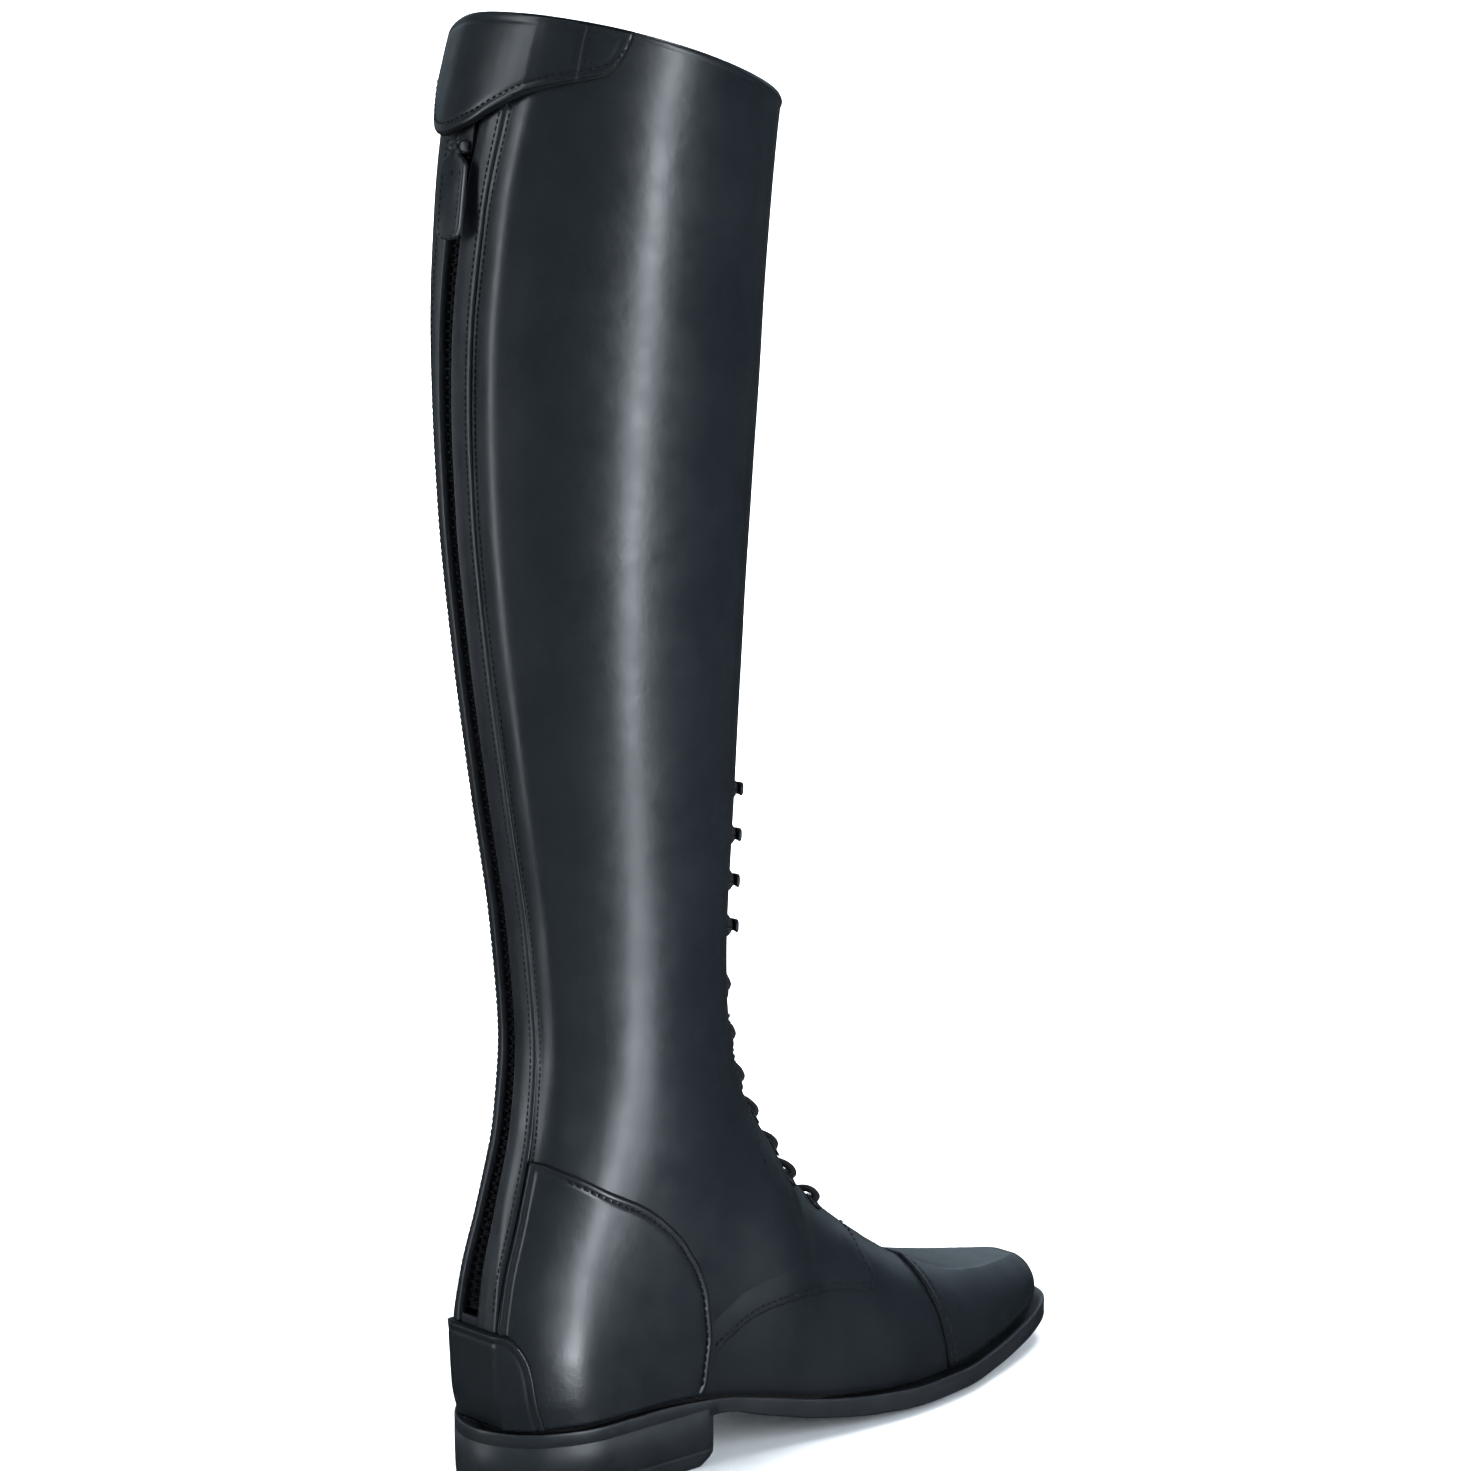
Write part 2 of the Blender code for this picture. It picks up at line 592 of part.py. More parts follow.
def tube(name, path, radius, mat, sides):
    path = np.asarray(path, float)
    verts, faces = [], []
    ahead = np.gradient(path, axis=0)
    for p, f in zip(path, ahead):
        f = f / np.linalg.norm(f)
        a = np.cross(f, [0, 0, 1.0])
        a = a / np.linalg.norm(a)
        verts += circle(p, a, np.cross(f, a), radius, sides)
    for i in range(len(path) - 1):
        for j in range(sides):
            k = (j + 1) % sides
            faces.append([i * sides + j, i * sides + k, (i + 1) * sides + k, (i + 1) * sides + j])
    faces.append(list(range(sides - 1, -1, -1)))
    faces.append([(len(path) - 1) * sides + j for j in range(sides)])
    return solid(name, verts, faces, mat)


def lace():
    """Two strands crossing from row to row, joined where they meet, with a bar across the lowest row."""
    rows = [(s, *LACE_AT_EYELET) for s in EYELET_ROWS] + [(s, *LACE_AT_HOOK) for s in HOOK_ROWS]
    strands = []
    for first in (-1, 1):
        path = []
        for i, (s, out, h) in enumerate(rows):
            d = first * (-1) ** i * out
            if path:
                path.append(((path[-1][0] + s - LACE_TURN) / 2, 0.0, (path[-1][2] + h) / 2))
                path.append((s - LACE_TURN, d, h))
            path.append((s + LACE_TURN, d, h))
        if first == 1:
            start, out, h = path[0]
            path = [(start - 2 * LACE_TURN, -out - 1.0, h), (start - 2 * LACE_TURN, 0.0, h),
                    (start - 2 * LACE_TURN, out, h)] + path
        spots = []
        for s, d, h in path:
            points, normals = skin([s], np.array([[d]]), "front")
            spots.append(points[0, 0] + normals[0, 0] * h)
        strands.append(tube("lace", spots, LACE_RADIUS, CLOTH, 5))
    combine(strands[0], strands[1], "UNION").name = "lace"


def outline(shift, count):
    """Plan loop moved out from the feather line, and the spine under it, both round the foot."""
    angle = np.linspace(0, np.pi, count + 1)
    x = FOOT_LENGTH * (1 - np.cos(angle)) / 2
    spine_x = np.clip(x, 26, FOOT_LENGTH - 20)
    spine = np.stack([spine_x, (plan(spine_x, "inner") - plan(spine_x, "outer")) / 2], -1)
    rim = np.vstack([np.stack([x, -plan(x, "outer")], -1), np.stack([x, plan(x, "inner")], -1)[::-1][1:-1]])
    spine = np.vstack([spine, spine[::-1][1:-1]])
    ahead = np.roll(rim, -1, 0) - np.roll(rim, 1, 0)
    ahead = ahead / np.linalg.norm(ahead, axis=1)[:, None]
    out = np.stack([ahead[:, 1], -ahead[:, 0]], -1)
    return rim + out * shift(rim[:, 0])[:, None], spine


def plate(name, rim, spine, shares, top, bottom, mat):
    """Solid over a plan loop, its underside in rings from the rim to the spine."""
    count = len(rim)
    levels = [(0.0, top), (1.0, top)] + [(f, bottom) for f in shares]
    verts = [(x, y, z(x, f)) for f, z in levels for x, y in spine + (rim - spine) * f]
    faces = []
    for i in range(count):
        k = (i + 1) % count
        for r in range(len(levels) - 1):
            a, b = r * count, (r + 1) * count
            faces.append([a + i, a + k, b + k, b + i])
    solid(name, verts, drop_flat(verts, faces), mat)


def drop_flat(verts, faces):
    """Faces with their repeated corners taken out, and those with no area left out."""
    kept = []
    for face in faces:
        ring = []
        for i in face:
            if not any(np.allclose(verts[i], verts[j], atol=1e-4) for j in ring):
                ring.append(i)
        if len(ring) > 2:
            kept.append(ring)
    return kept


def outsole():
    rim, spine = outline(lambda x: sole(x, "margin"), SOLE_STEPS)

    def bottom(x, f):
        return max(0.0, float(sole(x, "edge") - sole(x, "crown") * (1 - f ** 3)))

    def top(x, f):
        return float(sole(x, "top")) - WELT - GAP

    plate("outsole", rim, spine, [1.0, 0.92, 0.62, 0], top, bottom, RUBBER)


def insole():
    rim, spine = outline(lambda x: np.full(len(x), -5.4), SOLE_STEPS)
    plate("insole", rim, spine, [1.0, 0], lambda x, f: float(sole(x, "top")) + 1.6,
          lambda x, f: float(sole(x, "top")) - WELT, LINING)


def welt():
    outer, _ = outline(lambda x: sole(x, "margin") - 0.2, SOLE_STEPS)
    inner, _ = outline(lambda x: np.full(len(x), -4.9), SOLE_STEPS)
    count = len(outer)
    verts = []
    for ring, drop in ((outer, 0), (inner, 0), (inner, WELT), (outer, WELT)):
        verts += [(x, y, float(sole(x, "top")) - drop) for x, y in ring]
    faces = []
    for i in range(count):
        k = (i + 1) % count
        for r in range(4):
            a, b = r * count, (r + 1) % 4 * count
            faces.append([a + i, a + k, b + k, b + i])
    solid("welt", verts, faces, RUBBER)


def heel_ring(inset, breast, z):
    rim, _ = outline(lambda x: sole(x, "margin") - inset, 40)
    half = len(rim) // 2
    lower = rim[:half + 1]
    lower = lower[lower[:, 0] < breast - 2]
    other = np.vstack([rim[half:], rim[:1]])
    other = other[other[:, 0] < breast - 2]
    corner_out = np.interp(breast, rim[:half, 0], rim[:half, 1])
    corner_in = np.interp(breast, rim[half:][::-1, 0], rim[half:][::-1, 1])
    bow = [(breast - 1.6 * (1 - w * w), (corner_out + corner_in) / 2 + w * (corner_in - corner_out) / 2)
           for w in np.linspace(-1, 1, 5)]
    ring = np.vstack([lower, bow, other[:-1]])
    return np.column_stack([ring, np.full(len(ring), z)])


def loft(name, rings, mat):
    count = len(rings[0])
    faces = [list(range(count - 1, -1, -1))]
    for r in range(len(rings) - 1):
        a, b = r * count, (r + 1) * count
        faces += [[a + i, a + (i + 1) % count, b + (i + 1) % count, b + i] for i in range(count)]
    faces.append([(len(rings) - 1) * count + i for i in range(count)])
    solid(name, np.vstack(rings), faces, mat)


def heel():
    top = heel_ring(0.4, BREAST, HEEL_HEIGHT)
    low = heel_ring(0.4, BREAST, TOP_PIECE + GAP)
    squeeze = np.array([0.995, 0.985, 1])
    loft("heel", [middle_scale(low, squeeze), top], RUBBER)
    flat = heel_ring(0.4, BREAST, 0.0)
    lower = middle_scale(flat, np.array([0.99, 0.98, 1]))
    raised = middle_scale(heel_ring(0.4, BREAST, TOP_PIECE), squeeze)
    ledge = lower.copy()
    ledge[:, 2] = 4.5
    rest = lower.copy()
    rest[:, 0] -= 6.0 * step(58, BREAST, rest[:, 0])
    loft("heel_top_piece", [rest, ledge, raised], RUBBER)


def middle_scale(ring, share):
    middle = np.array([REST_X, 0, 0])
    return middle + (ring - middle) * share


upper()
tongue()
insole()
outsole()
welt()
heel()
toe_cap()
counter("counter_outer", -1)
counter("counter_inner", 1)
heel_cap()
back_strip("back_strip_outer", -1)
back_strip("back_strip_inner", 1)
collar_flap()
zip_pieces()
zip_slider()
zip_pull()
lace()
for side_name, side_sign in (("outer", -1), ("inner", 1)):
    for number, place in enumerate(EYELET_ROWS, 1):
        eyelet(f"eyelet_{side_name}_{number}", place, side_sign * EYELET_OUT)
    for number, place in enumerate(HOOK_ROWS, 1):
        hook(f"hook_{side_name}_{number}", place, side_sign * HOOK_OUT)
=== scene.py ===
# The looks of a tall lace-up riding boot for the right foot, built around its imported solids.
# Sizes are in millimetres: x runs from the back of the heel to the toe, y to the inner side, z up.
import math

import bmesh
import bpy
import numpy as np
from mathutils import Matrix, Vector
from mathutils.kdtree import KDTree


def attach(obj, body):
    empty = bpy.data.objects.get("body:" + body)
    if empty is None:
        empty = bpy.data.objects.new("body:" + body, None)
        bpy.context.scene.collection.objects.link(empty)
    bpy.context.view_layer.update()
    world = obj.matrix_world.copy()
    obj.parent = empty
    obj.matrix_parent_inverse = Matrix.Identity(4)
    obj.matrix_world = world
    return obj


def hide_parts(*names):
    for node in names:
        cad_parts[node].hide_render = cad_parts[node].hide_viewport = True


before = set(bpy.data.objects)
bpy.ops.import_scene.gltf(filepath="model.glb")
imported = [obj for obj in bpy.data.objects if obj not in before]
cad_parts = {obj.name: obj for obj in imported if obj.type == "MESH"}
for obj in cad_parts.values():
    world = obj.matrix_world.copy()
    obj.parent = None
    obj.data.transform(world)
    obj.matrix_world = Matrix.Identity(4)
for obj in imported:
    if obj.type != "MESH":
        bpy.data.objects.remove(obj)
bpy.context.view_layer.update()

# Driving sizes, as in the solids
FOOT_LENGTH = 275.5
REST_X = 37.0
WALL = 2.4
SEAT = 0.5
HEEL_HEIGHT = 18.0
BREAST = 82.0
THROAT_HALF = 6.5
ZIP_HALF = 4.5
STRIP_WIDTH = 10.0
LACE_RADIUS = 1.25
THROAT_ROWS = (126.0, 336.0)
ZIP_FOOT = 74.0
PULL_ROW = 516.5
PULL_LENGTH = 31.0
PULL_WIDTH = 13.0
PIN_OUT = 4.2
TOE_SEAM = (192.5, 195.0)
EYELET_ROWS = [141.0, 157.5, 175.5, 192.5, 208.5, 226.0, 245.0]
HOOK_ROWS = [268.0, 284.5, 301.0, 317.5]
EYELET_OUT = 12.5
HOOK_OUT = 13.1

# Plan of the upper at the feather line: half-widths over the station
PLAN = {
    "x": [0, 5, 14, 32, 60, 90, 120, 150, 175, 200, 225, 245, 259, 268, 273.5, 275.5],
    "outer": [0, 14.5, 22.5, 28.5, 29.5, 30.5, 34.0, 38.8, 40.8, 38.6, 31.6, 24.6, 18.8, 13.8, 7.6, 0],
    "inner": [0, 14.5, 22.5, 28.5, 27.0, 23.5, 25.5, 32.0, 37.5, 38.6, 32.6, 26.2, 20.6, 15.4, 8.6, 0],
}

# The sole along the foot: top face, lower edge, crown of the tread, and how far its edge stands out
SOLE = {
    "x": [0, 55, 84, 106, 130, 155, 180, 205, 230, 253, 275.5],
    "top": [26.0, 26.0, 24.0, 19.6, 14.4, 11.2, 9.8, 9.8, 11.0, 13.2, 16.2],
    "edge": [18.3, 18.3, 18.3, 12.6, 6.8, 3.5, 2.2, 2.2, 3.4, 5.6, 8.6],
    "crown": [0, 0, 0, 0.6, 1.6, 2.6, 3.2, 3.2, 2.6, 1.8, 1.0],
    "margin": [3.0, 3.0, 3.0, 3.4, 4.2, 4.7, 5.0, 5.0, 5.3, 5.5, 5.5],
}

# Centre front of the upper in side view, from the toe to the collar
FRONT = {
    "x": [275.5, 276.3, 274.8, 269.5, 257, 238, 213, 189, 167, 147.5,
          130.5, 118.5, 111.8, 109.5, 110.8, 114.8, 119.5, 125.0, 130.5],
    "z": [16.2, 22.0, 27.5, 32.0, 35.2, 38.5, 44.0, 54.5, 69.5, 87.0,
          107.5, 130, 154, 181, 226, 296, 366, 436, 477],
}

# Centre back of the upper in side view
BACK = {
    "z": [26, 38, 54, 76, 101, 131, 161, 196, 246, 296, 346, 396, 446, 475, 495, 520],
    "x": [3.0, 0.5, 0, 2.5, 9.5, 18.5, 22.5, 20.5, 13.5, 7.0, 2.5, 1.0, 4.0, 8.0, 13.0, 21.0],
}

# Half-width of the shaft over its height
SHAFT = {
    "z": [26, 76, 106, 136, 166, 196, 246, 296, 346, 396, 446, 520],
    "half": [28, 30.5, 32, 33.5, 35, 37, 41, 44.5, 48.0, 50.5, 51.5, 52.0],
}
SHAFT_MIDDLE = 0.46
SHAFT_ROUND = {"front": 1.95, "back": 2.1}
SHAFT_FROM, SHAFT_FULL = 50.0, 130.0

# Roundness of the foot's cross-sections over the station
ROUND = {"x": [100, 140, 175, 210, 245, 275.5], "n": [1.75, 1.8, 2.0, 2.15, 2.2, 2.2]}

# Sections: length up the centre front against height at the centre back
SECTION = {"front": [0, 31.4, 129.1, 232.4, 259.5, 556.3], "back": [26, 46, 88, 154, 181, 477]}
COLLAR = {"back": 34.0, "outer": 0.0, "inner": -14.0}

# Zip line: how far it lies to the inner side of the centre back, over the section
ZIP_LINE = {
    "s": [0, 70, 140, 190, 260, 340, 400, 440, 470, 500, 530, 556.3],
    "d": [4.0, 4.5, 5.0, 6.5, 9.0, 11.0, 12.5, 13.0, 11.5, 8.0, 3.0, 1.0],
}

# Counter: front edge as a distance from the centre back, over the section
COUNTER = {
    "s": [1, 7, 22, 42, 83, 110, 130.5, 148, 158, 166, 174, 180],
    "d": [93, 96.4, 99.3, 100.7, 97.7, 91.8, 82.7, 68, 55.8, 41, 27, 14],
}

# Heel cap: half-width and how far it stands out, over the section
HEEL_CAP = {
    "s": [1, 12, 25, 45, 58, 67],
    "d": [25.7, 24.9, 24.1, 22.4, 19.2, 14.6],
    "out": [1.7, 1.8, 1.9, 2.1, 2.5, 3.2],
}

# Collar flap: lower edge and stand-off, from the outer side round the back to the inner side
FLAP = {
    "d": [-50.5, -48.5, -45, -38, -30, -20, -10, 2, 12, 22, 30, 36],
    "low": [554.0, 547, 542, 539, 536.5, 533, 528.5, 523, 521, 523, 530, 541],
    "off": [0.5, 0.5, 0.5, 0.6, 0.8, 1.9, 2.4, 3.4, 3.8, 2.6, 2.1, 2.0],
}

# Seam behind the flap's tip, from the centre back
FLAP_SEAM = -35.0

# Edge of the quarter over the vamp in side view, from the throat down and back to the counter
QUARTER = {
    "x": [169, 166.5, 166.2, 165.0, 160, 145.7, 129.3, 115.2, 102.4, 93.6, 84.5],
    "z": [66.5, 60, 50.5, 47.5, 47.6, 50.3, 52, 51.7, 49, 44.7, 39.0],
}

# Stitch row along the laced facing: distance from the centre front, over the section
FACING = {"s": [163, 184, 200, 240], "d": [40, 29, 20, 19]}

# Strips of light on the outer side: how far out they stand and how wide they are, in metres, and their power
STRIP_OUT = -0.62
STRIP_WIDE = 0.07
STRIP_POWER = 95.0

# Camera: the view of the photograph, 1470 by 1471 pixels
IMAGE = (1470, 1471)
FOCUS = 4290.0
VIEW = {"azimuth": 42.0, "elevation": 10.8, "roll": -0.4, "distance": 1500.0}
TARGET = (33.0, 0.0, 255.0)
OFF_CENTRE = (-112.0, 18.0)


def smooth(xs, ys, x):
    """Monotone cubic through the rows of a table."""
    xs = np.asarray(xs, float)
    ys = np.asarray(ys, float)
    x = np.clip(x, xs[0], xs[-1])
    h = np.diff(xs)
    d = np.diff(ys) / h
    m = np.zeros(len(xs))
    w1 = 2 * h[1:] + h[:-1]
    w2 = h[1:] + 2 * h[:-1]
    with np.errstate(divide="ignore", invalid="ignore"):
        m[1:-1] = np.where(d[1:] * d[:-1] > 0, (w1 + w2) / (w1 / d[:-1] + w2 / d[1:]), 0)
    m[0] = d[0]
    m[-1] = d[-1]
    return hermite(xs, ys, m, x)


def flow(xs, ys, x):
    """Smooth curve through the rows of a table, free to swing past them a little."""
    xs = np.asarray(xs, float)
    ys = np.asarray(ys, float)
    return hermite(xs, ys, np.gradient(ys, xs), np.clip(x, xs[0], xs[-1]))


def hermite(xs, ys, m, x):
    """Cubic through the rows of a table, with the slopes m there."""
    i = np.clip(np.searchsorted(xs, x, side="right") - 1, 0, len(xs) - 2)
    h = xs[i + 1] - xs[i]
    t = (x - xs[i]) / h
    rise = ys[i] * (1 + 2 * t) * (1 - t) ** 2 + ys[i + 1] * t * t * (3 - 2 * t)
    return rise + h * (m[i] * t * (1 - t) ** 2 + m[i + 1] * t * t * (t - 1))


def step(a, b, x):
    """Soft step from 0 at a to 1 at b."""
    t = np.clip((np.asarray(x, float) - a) / (b - a), 0, 1)
    return t * t * (3 - 2 * t)


def bell(x, middle, width):
    return np.exp(-((x - middle) / width) ** 2)


def run_along(points):
    """Length along a line of points, from 0 at its start."""
    return np.concatenate([[0], np.cumsum(np.linalg.norm(np.diff(points, axis=0), axis=1))])


def turn(x):
    """Angle that spreads the stations out near the heel and the toe."""
    return np.arccos(np.clip(1 - 2 * np.asarray(x, float) / FOOT_LENGTH, -1, 1))


def plan(x, side):
    return smooth(turn(PLAN["x"]), PLAN[side], turn(x))


def sole(x, column):
    return smooth(SOLE["x"], SOLE[column], x)


FRONT_RUN = run_along(np.column_stack([FRONT["x"], FRONT["z"]]))
TOP_S = FRONT_RUN[-1]
RUN = np.linspace(0, TOP_S, 2000)
RUN_X = flow(FRONT_RUN, FRONT["x"], RUN)
RUN_Z = flow(FRONT_RUN, FRONT["z"], RUN)
TOE_TIP = int(np.argmax(RUN_X))
ANKLE = int(np.argmin(RUN_X))


def crest(x):
    """Height of the foot's crest over the station, from the ankle to the toe."""
    xs = RUN_X[TOE_TIP:ANKLE + 1][::-1]
    zs = RUN_Z[TOE_TIP:ANKLE + 1][::-1]
    return np.where(x <= xs[0], 1e4, np.interp(x, xs, zs))


def back_x(z):
    return smooth(BACK["z"], BACK["x"], z)


def half_width(x, z, side):
    """Half-width of the upper at a place in side view: foot sections below, shaft sections above."""
    shift = (back_x(z) - back_x(26.0)) * (1 - step(20, 110, x))
    nose = np.interp(np.minimum(z, RUN_Z[TOE_TIP]), RUN_Z, RUN_X) - FOOT_LENGTH
    station = np.clip(x - shift - nose * step(200, FOOT_LENGTH, x), 0, FOOT_LENGTH)
    floor = sole(station, "top")
    n = smooth(ROUND["x"], ROUND["n"], station)
    r = np.clip((z - floor) / np.maximum(crest(x) - floor, 1e-6), 0, 1) * step(RUN_X[ANKLE], 140, x)
    foot = plan(station, side) * (1 - r ** n) ** (1 / n)
    back = back_x(z)
    front = np.interp(z, RUN_Z, RUN_X)
    middle = back + SHAFT_MIDDLE * (front - back)
    u = np.where(x > middle, (x - middle) / (front - middle), (middle - x) / (middle - back))
    u = np.clip(np.abs(u), 0, 1)
    m = np.where(x > middle, SHAFT_ROUND["front"], SHAFT_ROUND["back"])
    shaft = smooth(SHAFT["z"], SHAFT["half"], z) * (1 - u ** m) ** (1 / m)
    k = step(SHAFT_FROM, SHAFT_FULL, z)
    return (1 - k) * foot + k * shaft


ROWS = 1114
STEPS = 500
SIDES = (("outer", -1), ("inner", 1))


def half_loops():
    """The skin as a table: for each side, rows up the boot and even steps from the front to the back."""
    s = np.linspace(0, TOP_S, ROWS)[:, None]
    front_x = flow(FRONT_RUN, FRONT["x"], s)
    front_z = flow(FRONT_RUN, FRONT["z"], s)
    rise = step(330, FRONT["z"][-1], front_z)
    back_z = np.interp(s, SECTION["front"], SECTION["back"]) + rise * COLLAR["back"]
    rear = back_x(back_z)
    u = ((1 + np.cos(np.linspace(0, np.pi, 481))) / 2)[None, :]
    x = rear + (front_x - rear) * u
    sag = 1 - step(16, 75, front_z)
    base = SOLE["top"][0] + (SOLE["top"][-1] - SOLE["top"][0]) * np.clip(x, 0, FOOT_LENGTH) / FOOT_LENGTH
    level = back_z + (front_z - back_z) * u + sag * (sole(x, "top") - base + SEAT)
    halves = np.zeros((2, ROWS, STEPS + 1, 3))
    lengths = np.zeros((2, ROWS))
    for k, (side, sign) in enumerate(SIDES):
        z = level + rise * COLLAR[side] * 4 * u * (1 - u)
        y = sign * half_width(x, z, side)
        y[:, 0] = 0
        y[:, -1] = 0
        for i in range(ROWS):
            line = np.stack([x[i], y[i], z[i]], -1)
            run = run_along(line)
            even = np.linspace(0, run[-1], STEPS + 1)
            lengths[k, i] = run[-1]
            for c in range(3):
                halves[k, i, :, c] = np.interp(even, run, line[:, c])
    return halves, lengths


HALVES, LENGTHS = half_loops()
MIDDLES = HALVES.mean(axis=(0, 2))


def half_length(s, d):
    """Length of a half section, on the side that the sign of d gives."""
    row = np.clip(np.asarray(s, float) / TOP_S, 0, 1) * (ROWS - 1)
    inner = (np.asarray(d) >= 0).astype(int)
    i = np.minimum(row.astype(int), ROWS - 2)
    t = row - i
    return LENGTHS[inner, i] * (1 - t) + LENGTHS[inner, i + 1] * t


def skin(s, d, base="back"):
    """Points on the skin: s up the front, d round the section from the centre, inner side positive."""
    s, d = np.broadcast_arrays(np.asarray(s, float), np.asarray(d, float))
    row = np.clip(s / TOP_S, 0, 1) * (ROWS - 1)
    i = np.minimum(row.astype(int), ROWS - 2)
    t = (row - i)[..., None]
    inner = (d >= 0).astype(int)
    share = np.clip(np.abs(d) / half_length(s, d), 0, 1)
    if base == "back":
        share = 1 - share
    col = share * STEPS
    j = np.minimum(col.astype(int), STEPS - 1)
    w = (col - j)[..., None]
    low = HALVES[inner, i, j] * (1 - w) + HALVES[inner, i, j + 1] * w
    high = HALVES[inner, i + 1, j] * (1 - w) + HALVES[inner, i + 1, j + 1] * w
    return low * (1 - t) + high * t


def ways(s, d, base="back", h=1.2):
    """Steps along s and along d on the skin, per millimetre of each."""
    s, d = np.broadcast_arrays(np.asarray(s, float), np.asarray(d, float))
    top = np.minimum(s + h, TOP_S)
    low = np.maximum(s - h, 0)
    up = (skin(top, d, base) - skin(low, d, base)) / (top - low)[..., None]
    around = (skin(s, d + h, base) - skin(s, d - h, base)) / (2 * h)
    return up, around


def unit(v):
    return v / np.maximum(np.linalg.norm(v, axis=-1), 1e-9)[..., None]


def normal(s, d, base="back"):
    """Outward normals of the skin."""
    up, around = ways(s, d, base)
    n = unit(np.cross(up, around))
    s = np.broadcast_to(np.asarray(s, float), n.shape[:-1])
    row = np.minimum((np.clip(s / TOP_S, 0, 1) * (ROWS - 1)).astype(int), ROWS - 1)
    facing = ((skin(s, d, base) - MIDDLES[row]) * n).sum(-1)
    return n * np.where(facing < 0, -1, 1)[..., None]


def walk(s, d, base, direction, length, hops=4):
    """Moves places over the skin by a length in a direction."""
    s = np.array(s, float)
    d = np.array(d, float)
    for _ in range(hops):
        up, around = ways(s, d, base)
        a = (up * up).sum(-1)
        b = (up * around).sum(-1)
        c = (around * around).sum(-1)
        p = (up * direction).sum(-1) * length / hops
        q = (around * direction).sum(-1) * length / hops
        det = a * c - b * b
        s = np.clip(s + (p * c - q * b) / det, 0, TOP_S)
        d = d + (q * a - p * b) / det
    return s, d


def zip_mid(s):
    return smooth(ZIP_LINE["s"], ZIP_LINE["d"], s)


def place(x, z, sign):
    """Section and distance from the centre back of a place that is given in side view."""
    half = int(sign > 0)
    found_s, found_d = [], []
    for px, pz in zip(x, z):
        gap = (HALVES[half, ..., 0] - px) ** 2 + (HALVES[half, ..., 2] - pz) ** 2
        i, j = np.unravel_index(np.argmin(gap), gap.shape)
        found_s.append(TOP_S * i / (ROWS - 1))
        found_d.append(sign * LENGTHS[half, i] * (1 - j / STEPS))
    return np.array(found_s), np.array(found_d)


# Materials


def nodes_of(name):
    """A new material with its node tree, its shader and the object's own coordinates."""
    mat = bpy.data.materials.new(name)
    mat.use_nodes = True
    tree = mat.node_tree
    coords = tree.nodes.new("ShaderNodeTexCoord").outputs["Object"]
    return mat, tree, tree.nodes["Principled BSDF"], coords


def add(tree, kind, **values):
    """A node with its inputs set by name."""
    node = tree.nodes.new(kind)
    for key, value in values.items():
        if key in node.inputs:
            node.inputs[key].default_value = value
        else:
            setattr(node, key, value)
    return node


def ramp(tree, source, low, high, a, b, soft=False):
    """Maps a range of values to another, with a soft start and end if asked."""
    node = add(tree, "ShaderNodeMapRange", interpolation_type="SMOOTHSTEP" if soft else "LINEAR")
    for key, value in (("From Min", low), ("From Max", high), ("To Min", a), ("To Max", b)):
        node.inputs[key].default_value = value
    tree.links.new(source, node.inputs["Value"])
    return node.outputs["Result"]


def noise(tree, coords, scale, detail=3.0, rough=0.5):
    node = add(tree, "ShaderNodeTexNoise", Scale=scale, Detail=detail, Roughness=rough)
    tree.links.new(coords, node.inputs["Vector"])
    return node.outputs["Fac"]


def bump(tree, height, strength, distance, under=None):
    node = add(tree, "ShaderNodeBump", Strength=strength, Distance=distance)
    tree.links.new(height, node.inputs["Height"])
    if under is not None:
        tree.links.new(under, node.inputs["Normal"])
    return node.outputs["Normal"]


def tint(tree, fac, dark, light):
    node = tree.nodes.new("ShaderNodeValToRGB")
    node.color_ramp.elements[0].color = (*dark, 1)
    node.color_ramp.elements[1].color = (*light, 1)
    tree.links.new(fac, node.inputs["Fac"])
    return node.outputs["Color"]


def leather(name, dark, light, rough, grain, coat, gloss=0.42):
    """Polished leather: close grain, faint clouds in colour and gloss."""
    mat, tree, shader, coords = nodes_of(name)
    cloud = noise(tree, coords, 26.0, 4.0, 0.6)
    tree.links.new(tint(tree, cloud, dark, light), shader.inputs["Base Color"])
    fine = noise(tree, coords, 120.0, 3.0, 0.55)
    mix = add(tree, "ShaderNodeMath", operation="MULTIPLY_ADD")
    mix.inputs[1].default_value = 0.7
    tree.links.new(fine, mix.inputs[0])
    tree.links.new(cloud, mix.inputs[2])
    dull = ramp(tree, mix.outputs[0], 0.6, 1.1, rough - 0.04, rough + 0.08)
    tree.links.new(dull, shader.inputs["Roughness"])
    pores = noise(tree, coords, 600.0, 2.0, 0.5)
    swell = noise(tree, coords, 60.0, 2.0, 0.5)
    pull = noise(tree, coords, 230.0, 3.0, 0.55)
    flat = tree.nodes.new("ShaderNodeMapping")
    flat.inputs["Scale"].default_value = (1.0, 1.0, 3.4)
    tree.links.new(coords, flat.inputs["Vector"])
    crackle = noise(tree, flat.outputs["Vector"], 150.0, 2.5, 0.5)
    under = bump(tree, swell, 0.3, 0.0006)
    under = bump(tree, crackle, 0.10, 0.00025, under)
    under = bump(tree, pull, 0.3, 0.00025, under)
    tree.links.new(bump(tree, pores, grain, 0.0001, under), shader.inputs["Normal"])
    shader.inputs["Specular IOR Level"].default_value = gloss
    shader.inputs["Coat Weight"].default_value = coat
    shader.inputs["Coat Roughness"].default_value = 0.3
    return mat


